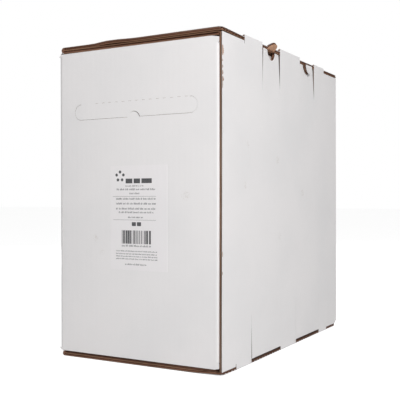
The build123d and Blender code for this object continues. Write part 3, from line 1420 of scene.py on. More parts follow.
    def inner_walls(self) -> None:
        """Builds the roll-over layers, their rolled left edges and the lugs behind the lock flaps."""
        plan = self.plan
        roll = plan.inner_top[0].x + plan.board
        y_front, y_end = plan.inner_top[0].y, plan.inner_top[1].y
        right = plan.inner_bottom[1].x
        top_windows, bottom_windows = self.lock_windows()
        lug_face = plan.pivots["front_top_lock_swing"].x - self.lug_depth
        outline: Loop = [(y_front, roll), (y_front, right)]
        for a, b in top_windows:
            outline += [(a, right), (a, lug_face), (b, lug_face), (b, right)]
        outline += [(y_end, right), (y_end, roll)]
        ceiling = plan.right[1].z - plan.board
        Board(
            name="top_inner_wall", body="carton", facing=Facing.UP, span=(ceiling, plan.right[1].z),
            outline=outline, skins=Skins.BROWN, node="top_inner_wall", warp=self.sagged, cell=12.0,
            phase=0.05, skew=-0.007,
        ).make()
        floor = plan.inner_bottom[0].z + plan.pressed
        Board(
            # Its inner liner is painted shade: a darker kraft on the bottom strip's raw edge.
            name="bottom_inner_wall", body="carton", facing=Facing.DOWN, span=(-floor, -plan.pressed),
            outline=oblong((y_front, roll), (y_end, right - plan.board)), skins=Skins.BROWN,
            node="bottom_inner_wall", inner_finish=PAINTED_SHADE_KRAFT, phase=0.3, skew=-0.004,
        ).make()
        top_heights, bottom_heights = (plan.inner_top[0].z, ceiling), (floor, plan.inner_bottom[1].z)
        self.lugs("top", top_windows, self.top_lug_width, top_heights, lug_face)
        self.lugs("bottom", bottom_windows, self.bottom_lug_width, bottom_heights, right)
        levels = (("top", plan.right[1].z, plan.board), ("bottom", plan.pressed, plan.pressed))
        for level, z, thickness in levels:
            profile = arc((roll, z), thickness, 90.0, 270.0, 12)
            inner = arc((roll, z), self.roll_bore, 90.0, 270.0, 12)
            section = [(Vector(a), Vector(b)) for a, b in zip(profile, inner)]
            Fold(f"{level}_rolled_edge", "carton", section, Sweep.LEVEL_Y, (y_front, y_end), WHITE_Y).make()

    def lugs(self, level: str, windows: list[Point], width: float, heights: Point, face: float) -> None:
        """Builds the two lugs of one inner wall, folded to stand behind the lock flaps.

        Args:
            level: Top or bottom.
            windows: The windows that they stand in.
            width: Width of a lug.
            heights: Their lowest and highest places.
            face: Their outer face on X.
        """
        for end, (a, b) in zip(("front", "rear"), windows):
            middle = (a + b) / 2.0
            corner = self.lug_corner
            low, high = heights
            left, right = middle - width / 2.0, middle + width / 2.0
            if level == "top":
                outline = [(left, high), (left, low + corner), (left + corner, low)]
                outline += [(right - corner, low), (right, low + corner), (right, high)]
            else:
                outline = [(left, low), (left, high - corner), (left + corner, high)]
                outline += [(right - corner, high), (right, high - corner), (right, low)]
            span = (face - self.plan.board, face)
            Board(f"{end}_{level}_lug", "carton", Facing.RIGHT, span, outline).make()

    def dust_flaps(self) -> None:
        """Builds the two dust flaps that fold forwards from the back panel."""
        for level, facing in (("top", Facing.UP_OFF_BACK), ("bottom", Facing.DOWN_OFF_BACK)):
            low, high = box_mm(f"{level}_dust_flap")
            corner = self.dust_corner
            outline = [(low.x, high.y), (low.x, low.y + corner), (low.x + corner, low.y)]
            outline += [(high.x - corner, low.y), (high.x, low.y + corner), (high.x, high.y)]
            span = (low.z, high.z) if level == "top" else (-high.z, -low.z)
            name = f"{level}_dust_flap"
            Board(name, "carton", facing, span, outline, node=name, phase=0.4).make()

    def tongues(self) -> None:
        """Builds the top outer wall's half-moon tongues: the front one lifted, the rear one hanging."""
        plan = self.plan
        high = plan.right[1]
        middle = plan.pivots["front_top_lock_swing"].y - self.tongue_shift
        root = self.tongue_root
        pivot = Vector((high.x - root, middle, high.z + root))
        tip = arc((middle, high.x - root), self.tongue_radius, 0.0, 180.0, 20)
        lift = Matrix.Rotation(-math.radians(self.tongue_lift), 4, "Y")
        placing = Matrix.Translation(pivot) @ lift @ Matrix.Translation(-pivot)
        # Its inner liner is painted light: a paler kraft on the lifted tongue's underside.
        Board(
            name="front_tongue", body="carton", facing=Facing.UP, span=(high.z, plan.top), outline=tip,
            placing=placing, inner_finish=KRAFT_PAINTED_LIGHT, phase=0.2,
        ).make()
        middle = plan.pivots["rear_top_lock_swing"].y
        tip = arc((middle, high.z), self.tongue_radius + self.tongue_spare, 180.0, 360.0, 20)
        # Its fluting is painted shade: a darker kraft on its raw edge.
        Board(
            name="rear_tongue", body="carton", facing=Facing.RIGHT,
            span=(plan.right[0].x + self.rear_proud, high.x + self.rear_proud), outline=tip,
            medium_finish=PAINTED_SHADE_KRAFT, phase=0.8,
        ).make()

    def torn_edge(self) -> None:
        """Builds the spots beside the near vertical edge where the liner has torn to the kraft below."""
        low, high = self.plan.right
        draw = random.Random(7)
        bm = bmesh.new()
        steps, tuck, pulp = 14, 0.2, 0.1
        edge = low.y + self.edge_recess
        for z, tall, wide in self.torn_spots:
            loop: Loop = [(edge, z - tall / 2.0)]
            for number in range(steps + 1):
                share = number / steps
                out = wide * math.sin(math.pi * share) ** 0.7 * draw.uniform(0.35, 1.1)
                loop.append((edge + tuck + out, z + tall * (share - 0.5)))
            loop.append((edge, z + tall / 2.0))
            fill(bm, [loop], high.x)
        thicken(bm, pulp)
        bmesh.ops.transform(bm, matrix=Facing.RIGHT.stand(), verts=bm.verts[:])
        for vert in bm.verts:
            vert.co += self.plan.flare(vert.co)
        riding_piece("torn_liner_spots", bm, TORN_PULP, "carton")

    def make(self) -> None:
        """Builds everything here."""
        self.right_panel()
        self.back_panel()
        self.outer_walls()
        self.inner_walls()
        self.dust_flaps()
        self.tongues()
        self.torn_edge()


# ---- lid, front and tuck flap


@dataclass
class MovingPanels:
    """The lid, the front panel with its slot flap, the tuck flap, and the live creases between them."""

    plan: CartonPlan
    left_corner: float = 7.0
    front_corner: float = 3.5
    fold_radius: float = 3.0
    soft_radius: float = 5.6
    bend_inset: float = 0.4
    head_corner: tuple[float, float] = (10.0, 2.0)
    foot_corner: tuple[float, float] = (6.0, 1.4)
    tab_width: float = 17.6
    tab_height: float = 6.7
    tab_gap: float = 0.45
    tab_shift: float = 0.5
    slot_gap: float = 0.35
    slot_drift: float = 0.15
    slot_trim: float = 1.6
    near_reach: float = 0.6
    crease_half: float = 2.5
    crease_cell: float = 0.6
    dash_pitch: float = 10.0
    dash_start: float = 0.25
    dash_share: float = 0.45
    dash_half: float = 0.14
    first_dash: int = 2
    ear_corner: float = 15.0
    ear_relief: float = 4.0
    spine: float = 12.0

    def left_panel(self) -> None:
        """Builds the left panel between its two live creases."""
        low, high = self.plan.left
        reach = self.plan.fold_reach
        front_fold = (self.plan.front[0].z + self.front_corner, self.plan.front[1].z - self.front_corner)
        back_fold = (self.plan.back[0].z, self.plan.back[1].z)
        y_front = self.plan.front[0].y + reach
        y_back = self.plan.back[1].y - reach
        cut = self.left_corner
        outline = [(y_front, front_fold[0]), (low.y, front_fold[0])]
        outline += [(low.y, low.z + cut), (low.y + cut, low.z)]
        outline += [(high.y, low.z), (high.y, back_fold[0]), (y_back, back_fold[0])]
        outline += [(y_back, back_fold[1]), (high.y, back_fold[1]), (high.y, high.z)]
        outline += [(low.y + cut, high.z), (low.y, high.z - cut)]
        outline += [(low.y, front_fold[1]), (y_front, front_fold[1])]
        Board(
            name="left_panel", body="lid", facing=Facing.LEFT, span=(-high.x, -low.x), outline=outline,
            node="left_panel", phase=0.45,
        ).make()

    def lid_creases(self) -> None:
        """Builds the live creases at the two ends of the left panel."""
        plan = self.plan
        reach, board = plan.fold_reach, plan.board
        x, y_back, y_front = plan.left[0].x, plan.back[1].y, plan.front[0].y
        inset = self.bend_inset
        back = corner_section((x, y_back), (reach, 0.0), (0.0, -reach), self.fold_radius, board)
        Fold(
            name="lid_crease", body="carton", section=back, sweep=Sweep.UPRIGHT,
            span=(plan.back[0].z, plan.back[1].z), skin_finish=WHITE_X, second_body="lid",
            bend_from=Vector((x + reach - inset, y_back - board + inset, 0.0)),
            bend_to=Vector((x + board - inset, y_back - reach + inset, 0.0)),
        ).make()
        front = corner_section((x, y_front), (0.0, reach), (reach, 0.0), self.soft_radius, board)
        z = (plan.front[0].z + self.front_corner, plan.front[1].z - self.front_corner)
        Fold(
            name="front_crease", body="lid", section=front, sweep=Sweep.UPRIGHT, span=z,
            skin_finish=WHITE_X, second_body="front",
            bend_from=Vector((x + board - inset, y_front + reach - inset, 0.0)),
            bend_to=Vector((x + reach - inset, y_front + board - inset, 0.0)),
        ).make()

    def slot_sizes(self) -> tuple[Vector, float, float, float]:
        """Measures the slot.

        Returns:
            Its middle, its half length, its half height and the radius of its ends.
        """
        low, high = box_mm("slot_flap")
        middle = (low + high) / 2.0 - Vector((self.slot_trim, 0.0, 0.0))
        half_height = (high.z - low.z) / 2.0 + self.plan.cut_gap
        half_length = (high.x - low.x) / 2.0 + self.plan.cut_gap - self.slot_trim
        return middle, half_length, half_height, half_height

    def slot_loop(self, inset: float, tab_extra: float, drift: float, crease: float) -> Loop:
        """Draws the slot, or the flap that fills it.

        Args:
            inset: How far inside the slot the line runs.
            tab_extra: How much larger the thumb tab's circle is.
            drift: How far the outline sits to the right.
            crease: Height of the crease strip's seam.

        Returns:
            The outline as places on X and Z.
        """
        middle, half_length, half_height, radius = self.slot_sizes()
        middle.x += drift
        reach = half_length - radius
        low = middle.z - half_height + inset
        tab_radius = (self.tab_width**2 / 4.0 + self.tab_height**2) / (2.0 * self.tab_height)
        tab_z = middle.z - half_height + self.tab_height - tab_radius
        around = tab_radius + tab_extra
        half_angle = math.degrees(math.acos((low - tab_z) / around))
        loop = arc((middle.x + reach, middle.z), radius - inset, -90.0, 90.0, 16)
        loop += [(middle.x + reach, crease), (middle.x - reach, crease)]
        loop += arc((middle.x - reach, middle.z), radius - inset, 90.0, 270.0, 16)
        tab_centre = (middle.x + (self.tab_shift if drift else 0.0), tab_z)
        return loop + arc(tab_centre, around, 90.0 + half_angle, 90.0 - half_angle, 16)

    def front_panel(self) -> None:
        """Builds the front panel, its slot flap and the perforated crease between them."""
        plan = self.plan
        low, high = plan.front
        reach, cut = plan.fold_reach, self.front_corner
        left, right = low.x + reach, plan.tuck[1].x - reach
        ear_low, ear_high = plan.tuck[0].z, plan.tuck[1].z
        across, tall = self.head_corner
        foot_across, foot_tall = self.foot_corner
        outline = [(left, low.z + cut), (low.x, low.z + cut), (low.x + cut, low.z)]
        edge = high.x + self.near_reach
        outline += [(edge - foot_across, low.z), (edge, low.z + foot_tall), (edge, ear_low), (right, ear_low)]
        outline += [(right, ear_high), (edge, ear_high), (edge, high.z - tall), (edge - across, high.z)]
        outline += [(low.x + cut, high.z), (low.x, high.z - cut), (left, high.z - cut)]
        crease = plan.pivots["slot_push"].z
        upper, lower = crease + self.crease_half, crease - self.crease_half
        span = (-high.y, -low.y)
        Board(
            name="front_panel", body="front", facing=Facing.FRONT, span=span, outline=outline,
            holes=[self.slot_loop(0.0, 0.0, 0.0, upper)], node="front_panel", warp=plan.flare, cell=10.0,
            phase=0.2,
        ).make()
        Board(
            name="slot_flap", body="slot_door", facing=Facing.FRONT, span=span,
            outline=self.slot_loop(self.slot_gap, self.tab_gap, self.slot_drift, lower), node="slot_flap",
            phase=0.2,
        ).make()
        self.perforated_crease(span, lower, upper)

    def perforated_crease(self, span: Point, lower: float, upper: float) -> None:
        """Builds the strip that joins the slot flap to the front panel, with the die's perforations.

        Args:
            span: The inner and outer face, measured outwards.
            lower: Seam with the flap.
            upper: Seam with the panel.
        """
        middle, half_length, _, radius = self.slot_sizes()
        reach = half_length - radius
        left, right = middle.x - reach, middle.x + reach
        crease = (lower + upper) / 2.0
        count = int((right - left) / self.dash_pitch)
        pitch = (right - left) / count
        dashes = []
        for number in range(self.first_dash, count):
            start = left + pitch * (number + self.dash_start)
            end = start + pitch * self.dash_share
            dashes.append(oblong((start, crease - self.dash_half), (end, crease + self.dash_half)))
        layers = (
            ("slot_crease_skin", (span[1] - LINER, span[1]), dashes, WHITE_X),
            ("slot_crease_core", (span[0], span[1] - LINER), [], CORE),
        )
        for name, (inner, outer), holes, finish in layers:
            bm = bmesh.new()
            fill(bm, [oblong((left, lower), (right, upper)), *holes], inner)
            cut_across(bm, steps_between(lower, upper, self.crease_cell), Vector((0.0, 1.0, 0.0)))
            thicken(bm, outer - inner)
            bmesh.ops.transform(bm, matrix=Facing.FRONT.stand(), verts=bm.verts[:])
            piece = plain_piece(name, bm, finish)
            start, end = (Vector((0.0, -span[0], z)) * MM for z in (upper, lower))
            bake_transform(piece)

    def tuck_flap(self) -> None:
        """Builds the tuck flap, its two ears and the live crease to the front panel."""
        plan = self.plan
        low, high = plan.tuck
        reach, board = plan.fold_reach, plan.board
        y_front = plan.front[0].y
        seam = y_front + reach
        reel_middle = plan.pivots["reel_spin"].z
        relief = box_mm("slot_flap")[1].z + plan.cut_gap + self.ear_relief - reel_middle
        spine = low.y + self.spine
        cut = self.ear_corner
        lower, upper = reel_middle - relief, reel_middle + relief
        outline = [(seam, low.z), (high.y - cut, low.z), (high.y, low.z + cut), (high.y, lower)]
        outline += [(spine, lower), (spine, upper)]
        outline += [(high.y, upper), (high.y, high.z - cut), (high.y - cut, high.z), (seam, high.z)]
        Board(
            name="tuck_flap", body="tuck", facing=Facing.RIGHT, span=(low.x, high.x), outline=outline,
            node="tuck_flap", warp=lambda place: Vector((max(0.0, plan.flare(place).x), 0.0, 0.0)),
            cell=12.0,
        ).make()
        section = corner_section((high.x, y_front), (-reach, 0.0), (0.0, reach), self.fold_radius, board)
        inset = self.bend_inset
        Fold(
            name="tuck_crease", body="front", section=section, sweep=Sweep.UPRIGHT, span=(low.z, high.z),
            skin_finish=WHITE_X, second_body="tuck",
            bend_from=Vector((high.x - reach + inset, y_front + board - inset, 0.0)),
            bend_to=Vector((high.x - board + inset, y_front + reach - inset, 0.0)), warp=plan.flare,
            parts=24,
        ).make()

    def make(self) -> None:
        """Builds everything here."""
        self.left_panel()
        self.lid_creases()
        self.front_panel()
        self.tuck_flap()


@dataclass
class LockFlaps:
    """The four lock flaps of the right panel, with their creases.

    Each is pushed in or stands out a little at its free edge, by one amount at its front side and by
    another at its rear side.
    """

    plan: CartonPlan
    flap_reach: float = 4.0
    bend_inset: float = 0.5
    thumb_radius: float = 14.5
    top_height: float = 52.0
    bottom_height: float = 54.0
    top_gap: float = 0.5
    bottom_gap: float = 2.7
    push: dict[str, Point] = field(
        default_factory=lambda: {
            "front_top": (1.3, -2.4),
            "rear_top": (-0.8, -2.6),
            "front_bottom": (0.9, 0.7),
            "rear_bottom": (0.1, 0.1),
        }
    )

    def flap(self, end: str, level: str) -> None:
        """Builds one lock flap and its live crease.

        Args:
            end: Front or rear.
            level: Top or bottom.
        """
        plan = self.plan
        node = f"{end}_{level}_lock_flap"
        body = f"{end}_{level}_lock"
        low, high = box_mm(node)
        pivot = plan.pivots[f"{body}_swing"]
        up = level == "top"
        way = 1.0 if up else -1.0
        height = self.top_height if up else self.bottom_height
        front_push, rear_push = self.push[f"{end}_{level}"]

        def pushed(place: Vector) -> Vector:
            """Warps the flap, which stands out more the further it is from its crease.

            Args:
                place: A place on the flap.

            Returns:
                How far the place moves.
            """
            share = (place.y - low.y) / (high.y - low.y)
            rise = max(0.0, (place.z - pivot.z) * way) / height
            return Vector(((front_push + (rear_push - front_push) * share) * rise, 0.0, 0.0))

        seam = pivot.z + way * self.flap_reach
        if up:
            free = pivot.z + height - self.top_gap
            thumb = plan.top - plan.board / 2.0
            half = math.degrees(math.acos((thumb - free) / self.thumb_radius))
            outline = [(high.y, seam), (high.y, free)]
            outline += arc((pivot.y, thumb), self.thumb_radius, -90.0 + half, -90.0 - half, 20)
            outline += [(low.y, free), (low.y, seam)]
        else:
            free = pivot.z - height + self.bottom_gap
            outline = oblong((low.y, free), (high.y, seam))
        Board(
            name=node, body=body, facing=Facing.RIGHT, span=(pivot.x - plan.board, pivot.x),
            outline=outline, node=node, warp=pushed, cell=9.0, phase=0.12,
        ).make()
        seam_a = pivot.z - way * plan.lock_reach
        section = straight_section((pivot.x, seam_a), (pivot.x, pivot.z), (pivot.x, seam), (-plan.board, 0.0))
        Fold(
            name=f"{body}_crease", body="carton", section=section, sweep=Sweep.LEVEL_Y,
            span=(low.y, high.y), skin_finish=WHITE_Y, second_body=body,
            bend_from=Vector((pivot.x, pivot.y, seam_a + way * self.bend_inset)),
            bend_to=Vector((pivot.x, pivot.y, pivot.z + way * (self.flap_reach - self.bend_inset))),
            warp=pushed, parts=8,
        ).make()

    def make(self) -> None:
        """Builds all four."""
        for level in ("top", "bottom"):
            for end in ("front", "rear"):
                self.flap(end, level)


# ---- the label


@dataclass
class Label:
    """The paper label: a generic layout, with strokes where a real label has words.

    Places across are measured from the label's middle line, and heights from its lower edge. A line
    of print is its start, its end, its foot and its height.
    """

    corner: float = 1.2
    paper: float = 0.17
    ink: float = 0.03
    dots: int = 5
    dot_radius: float = 1.9
    ring_radius: float = 5.4
    ring_middle: Point = (-27.0, 115.4)
    heading_blocks: tuple[Point, ...] = ((-18.5, -8.5), (-6.5, 3.0), (5.0, 20.0))
    heading_heights: Point = (106.6, 112.4)
    upper_lines: tuple[tuple[float, float, float, float], ...] = (
        (-19.0, 9.0, 102.7, 1.4),
        (-32.0, 25.0, 98.1, 2.2),
        (-13.0, 2.0, 93.2, 1.9),
        (-33.0, 26.0, 86.5, 2.3),
        (-33.0, 26.0, 80.6, 2.3),
        (-33.0, 26.0, 74.4, 2.3),
        (-29.0, 22.0, 70.0, 2.1),
        (-15.0, 7.0, 63.9, 1.9),
    )
    rules: Point = (90.4, 61.5)
    rule_span: Point = (-38.0, 26.0)
    rule_height: float = 0.3
    square_blocks: tuple[Point, ...] = ((-9.4, -3.4), (-1.8, 4.2))
    square_heights: Point = (54.3, 59.0)
    bars_span: Point = (-24.5, 19.0)
    bars_heights: Point = (32.4, 48.8)
    bar_widths: tuple[float, ...] = (0.6, 1.0, 1.7, 2.6)
    bar_gaps: tuple[float, ...] = (0.5, 0.8, 1.5)
    strokes: tuple[int, int] = (3, 9)
    stroke_width: Point = (0.16, 0.3)
    stroke_rises: tuple[float, ...] = (1.0, 1.0, 0.72, 0.72, 0.72)
    ticks_drop: float = 3.6
    ticks_height: float = 2.2
    lower_lines: tuple[tuple[float, float, float, float], ...] = (
        (-33.0, 28.0, 22.6, 1.5),
        (-33.0, 28.0, 19.2, 1.5),
        (-33.0, 28.0, 16.1, 1.5),
        (-33.0, 28.0, 13.0, 1.5),
        (-19.5, 14.0, 6.2, 1.9),
    )

    def __post_init__(self) -> None:
        """Reads the label's place and seeds its widths."""
        self.low, self.high = box_mm("label")
        self.draw = random.Random(11)
        self.blocks: list[Loop] = []

    def bar(self, left: float, right: float, low: float, high: float) -> None:
        """Adds one printed block."""
        middle = (self.low.x + self.high.x) / 2.0
        self.blocks.append(oblong((middle + left, self.low.z + low), (middle + right, self.low.z + high)))

    def words(self, left: float, right: float, low: float, tall: float) -> None:
        """Adds a line of small upright strokes in groups, which reads as a line of print from afar.

        Args:
            left: Start of the line.
            right: End of the line.
            low: Its foot.
            tall: Its height.
        """
        place = left
        space = tall * 0.5
        while place < right - space:
            for _ in range(self.draw.randint(*self.strokes)):
                width = tall * self.draw.uniform(*self.stroke_width)
                rise = tall * self.draw.choice(self.stroke_rises)
                if place + width > right:
                    return
                self.bar(place, place + width, low, low + rise)
                place += width + tall * self.draw.uniform(*self.stroke_width)
            place += space

    def barcode(self, left: float, right: float, low: float, high: float) -> None:
        """Adds upright bars of mixed widths, and short ticks below them.

        Args:
            left: Start of the bars.
            right: End of the bars.
            low: Their foot.
            high: Their head.
        """
        place = left
        while place < right:
            width = self.draw.choice(self.bar_widths)
            self.bar(place, min(place + width, right), low, high)
            place += width + self.draw.choice(self.bar_gaps)
        self.words(left, right, low - self.ticks_drop, self.ticks_height)

    def mark(self) -> None:
        """Adds plain dots in a ring."""
        x = (self.low.x + self.high.x) / 2.0 + self.ring_middle[0]
        z = self.low.z + self.ring_middle[1]
        for number in range(self.dots):
            angle = math.radians(90.0 + 360.0 / self.dots * number)
            centre = (x + self.ring_radius * math.cos(angle), z + self.ring_radius * math.sin(angle))
            self.blocks.append(circle(centre, self.dot_radius, 14))

    def heading(self) -> None:
        """Adds the heading: solid blocks in a row."""
        for left, right in self.heading_blocks:
            self.bar(left, right, *self.heading_heights)

    def make(self) -> None:
        """Builds the paper and its print."""
        bm = bmesh.new()
        left, right = self.low.x, self.high.x
        bottom, top, cut = self.low.z, self.high.z, self.corner
        outline = arc((right - cut, top - cut), cut, 0.0, 90.0, 5)
        outline += arc((left + cut, top - cut), cut, 90.0, 180.0, 5)
        outline += arc((left + cut, bottom + cut), cut, 180.0, 270.0, 5)
        outline += arc((right - cut, bottom + cut), cut, 270.0, 360.0, 5)
        fill(bm, [outline], -self.high.y)
        thicken(bm, self.paper)
        bmesh.ops.transform(bm, matrix=Facing.FRONT.stand(), verts=bm.verts[:])
        paper = riding_piece("label_paper", bm, LABEL_STOCK, "front")
        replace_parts(paper, "label")
        self.mark()
        self.heading()
        for line in self.upper_lines:
            self.words(*line)
        for low in self.rules:
            self.bar(*self.rule_span, low, low + self.rule_height)
        for left, right in self.square_blocks:
            self.bar(left, right, *self.square_heights)
        self.barcode(*self.bars_span, *self.bars_heights)
        for line in self.lower_lines:
            self.words(*line)
        bm = bmesh.new()
        for block in self.blocks:
            fill(bm, [block], self.paper - self.high.y)
        thicken(bm, self.ink)
        bmesh.ops.transform(bm, matrix=Facing.FRONT.stand(), verts=bm.verts[:])
        riding_piece("label_print", bm, INK, "front")


# ---- the reel inside


@dataclass
class Reel:
    """Everything on and around the axle: supports, bushes, flanges, core, cable and tie bolts.

    The winding's pitch and the depths of its layers are in diameters of the cable.
    """

    plan: CartonPlan
    cable: float = 5.6
    pitch: float = 1.01
    lower_depth: float = 1.36
    heart_depth: float = 1.75
    spent_share: float = 0.62
    swell: float = 0.35
    swell_rate: float = 0.35
    crossover: float = 0.55
    turn_points: int = 72
    tube_wall: float = 4.0
    head_radius: float = 8.0
    washer_radius: float = 9.0
    nut_flats: float = 10.0
    hole_play: float = 0.2
    close_play: float = 0.05
    bolt_circle: float = 57.0
    bolt_phase: float = 5.0
    bolt_count: int = 3
    bolt_radius: float = 3.0
    bolt_chamfer: Point = (0.7, 0.5)
    start_hole: float = 7.0
    start_place: float = 77.0
    sleeve_wall: float = 5.0
    bush_wall: float = 6.0
    lip: float = 7.0
    lip_width: float = 2.0
    turning_play: float = 0.06

    def __post_init__(self) -> None:
        """Reads the axle's height and radius."""
        low, high = box_mm("axle_tube")
        self.middle = (low.z + high.z) / 2.0
        self.axle = (high.z - low.z) / 2.0

    def bolt_places(self) -> list[Point]:
        """Spaces the tie bolts evenly round the axle.

        Returns:
            Y and Z of each.
        """
        ring, count = self.bolt_circle, self.bolt_count
        angles = [math.radians(self.bolt_phase + 360.0 * number / count) for number in range(count)]
        return [(ring * math.cos(angle), self.middle + ring * math.sin(angle)) for angle in angles]

    def supports(self) -> None:
        """Builds the two support boards with their bush holes."""
        hole = circle((0.0, self.middle), self.axle + self.sleeve_wall, 64)
        for side in ("left", "right"):
            low, high = box_mm(f"{side}_support_board")
            Board(
                name=f"{side}_support_board", body="carton", facing=Facing.RIGHT, span=(low.x, high.x),
                outline=oblong((low.y, low.z), (high.y, high.z)), holes=[hole], skins=Skins.BROWN,
                node=f"{side}_support_board",
            ).make()

    def bushes(self) -> None:
        """Builds the four plastic bushes, turned with a softened lip."""
        rows = (
            ("left_support_bush", "carton", self.sleeve_wall, 0.0, True),
            ("right_support_bush", "carton", self.sleeve_wall, 0.0, False),
            ("left_reel_bush", "reel", self.bush_wall, self.turning_play, True),
            ("right_reel_bush", "reel", self.bush_wall, self.turning_play, False),
        )
        for name, body, wall, play, lip_right in rows:
            low, high = box_mm(name)
            bore, sleeve = self.axle + play, self.axle + wall
            lip_end, sleeve_end = (high.x, low.x) if lip_right else (low.x, high.x)
            step = lip_end - self.lip_width if lip_right else lip_end + self.lip_width
            profile = [(sleeve_end, bore), (sleeve_end, sleeve), (step, sleeve), (step, sleeve + self.lip)]
            profile += [(lip_end, sleeve + self.lip), (lip_end, bore)]
            bm = turned(profile, self.middle)
            soften(bm, 0.5)
            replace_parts(riding_piece(name, bm, BUSH_PLASTIC, body, smooth=True), name)

    def tubes(self) -> None:
        """Builds the axle and the core."""
        for name, body, finish in (("axle_tube", "carton", AXLE_PLASTIC), ("core_tube", "reel", CARD_TUBE)):
            low, high = box_mm(name)
            radius = (high.z - low.z) / 2.0
            bore = radius - self.tube_wall
            profile = [(low.x, bore), (low.x, radius), (high.x, radius), (high.x, bore)]
            bm = turned(profile, self.middle)
            soften(bm, 0.4)
            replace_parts(riding_piece(name, bm, finish, body, smooth=True), name)

    def flanges(self) -> None:
        """Builds the plywood flanges, with the bolt holes and the hole that the cable starts from."""
        for side in ("left", "right"):
            name = f"{side}_reel_flange"
            low, high = box_mm(name)
            radius = (high.z - low.z) / 2.0
            loops = [circle((0.0, self.middle), radius, 128)]
            loops.append(circle((0.0, self.middle), self.axle + self.bush_wall, 64))
            loops += [circle(place, self.bolt_radius + self.hole_play, 24) for place in self.bolt_places()]
            if side == "left":
                loops.append(circle((0.0, self.middle + self.start_place), self.start_hole, 32))
            bm = bmesh.new()
            fill(bm, loops, low.x)
            thicken(bm, high.x - low.x)
            soften(bm, 0.6)
            bmesh.ops.transform(bm, matrix=Facing.RIGHT.stand(), verts=bm.verts[:])
            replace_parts(riding_piece(name, bm, PLYWOOD, "reel", smooth=True), name)

    def layer(self, name: str, span: Point, radius: float, seed: int) -> bpy.types.Object:
        """Winds one layer of cable as a close helix.

        Args:
            name: The piece's name.
            span: First and last place on X of the cable's middle.
            radius: Radius of the cable's middle line.
            seed: Seed of the small unevenness.

        Returns:
            The layer as a mesh.
        """
        pitch = self.cable * self.pitch
        turns = (span[1] - span[0]) / pitch
        draw = random.Random(seed)
        shift = draw.uniform(0.0, 10.0)
        curve = bpy.data.curves.new(name, "CURVE")
        curve.dimensions = "3D"
        curve.bevel_depth = self.cable / 2.0 * MM
        curve.bevel_resolution = 2
        curve.use_fill_caps = True
        spline = curve.splines.new("POLY")
        count = int(turns * self.turn_points)
        spline.points.add(count)
        for number in range(count + 1):
            turn = number / self.turn_points
            angle = math.tau * turn
            whole, part = divmod(turn, 1.0)
            along = span[0] + (whole + ease(part, self.crossover, 1.0)) * pitch
            wander = Vector((turn * self.swell_rate + shift, math.sin(angle), math.cos(angle)))
            reach = radius + self.swell * noise.noise(wander)
            y, z = reach * math.cos(angle), self.middle + reach * math.sin(angle)
            spline.points[number].co = (along * MM, y * MM, z * MM, 1.0)
        drawn = bpy.data.objects.new(name, curve)
        mesh = bpy.data.meshes.new_from_object(drawn)
        bpy.data.objects.remove(drawn)
        bpy.data.curves.remove(curve)
        mesh.name = name
        bm = bmesh.new()
        bm.from_mesh(mesh)
        bpy.data.meshes.remove(mesh)
        bmesh.ops.scale(bm, vec=(1.0 / MM,) * 3, verts=bm.verts[:])
        return riding_piece(name, bm, JACKET, "reel", smooth=True)

    def winding(self) -> None:
        """Builds the wound cable: a solid heart, a full layer, and an outer layer that is part spent."""
        low, high = box_mm("wound_cable")
        radius = (high.z - low.z) / 2.0
        core_radius = (box_mm("core_tube")[1].z - box_mm("core_tube")[0].z) / 2.0
        heart, bore = radius - self.cable * self.heart_depth, core_radius + self.close_play
        profile = [(low.x, bore), (low.x, heart), (high.x, heart), (high.x, bore)]
        body = riding_piece("cable_heart", turned(profile, self.middle), JACKET, "reel", smooth=True)
        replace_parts(body, "wound_cable")
        half = self.cable / 2.0
        lower = radius - self.cable * self.lower_depth - self.swell
        self.layer("cable_lower_layer", (low.x + half, high.x - half), lower, 3)
        spent = low.x + (high.x - low.x) * self.spent_share
        self.layer("cable_outer_layer", (low.x + self.cable, spent), radius - half - self.swell, 5)

    def fasteners(self) -> None:
        """Builds the tie bolts, washers and nuts."""
        left = box_mm("left_reel_flange")[0].x
        bolts_low, bolts_high = box_mm("tie_bolts")
        washer_low, washer_high = box_mm("washers")
        nut_low, nut_high = box_mm("nuts")
        for number, (y, z) in enumerate(self.bolt_places(), start=1):
            drop = Matrix.Translation((0.0, y, 0.0))
            dome = arc((left, 0.0), 1.0, 0.0, 90.0, 8)
            tall = left - bolts_low.x
            head = [(left - tall * b, max(0.0, self.head_radius * (a - left))) for a, b in dome]
            end, (along, across) = bolts_high.x, self.bolt_chamfer
            shank = [(end, 0.0), (end, self.bolt_radius - across)]
            shank += [(end - along, self.bolt_radius), (left, self.bolt_radius)]
            bm = turned(shank + head, z, 32)
            bmesh.ops.transform(bm, matrix=drop, verts=bm.verts[:])
            bolt = riding_piece(f"tie_bolt_{number}", bm, ZINC, "reel", smooth=True)
            hole, rim = self.bolt_radius + self.hole_play, self.washer_radius
            ring = [(washer_low.x, hole), (washer_low.x, rim), (washer_high.x, rim), (washer_high.x, hole)]
            bm = turned(ring, z, 40)
            soften(bm, 0.25, 1)
            bmesh.ops.transform(bm, matrix=drop, verts=bm.verts[:])
            washer = riding_piece(f"washer_{number}", bm, ZINC, "reel", smooth=True)
            bm = bmesh.new()
            corners = self.nut_flats / math.sqrt(3.0)
            loops = [circle((y, z), corners, 6), circle((y, z), self.bolt_radius + self.close_play, 24)]
            fill(bm, loops, nut_low.x)
            thicken(bm, nut_high.x - nut_low.x)
            soften(bm, 0.5)
            bmesh.ops.transform(bm, matrix=Facing.RIGHT.stand(), verts=bm.verts[:])
            nut = riding_piece(f"nut_{number}", bm, ZINC, "reel", smooth=True)
            if number == 1:
                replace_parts(bolt, "tie_bolts")
                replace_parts(washer, "washers")
                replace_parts(nut, "nuts")

    def make(self) -> None:
        """Builds everything here."""
        self.supports()
        self.bushes()
        self.tubes()
        self.flanges()
        self.winding()
        self.fasteners()


# ---- the studio


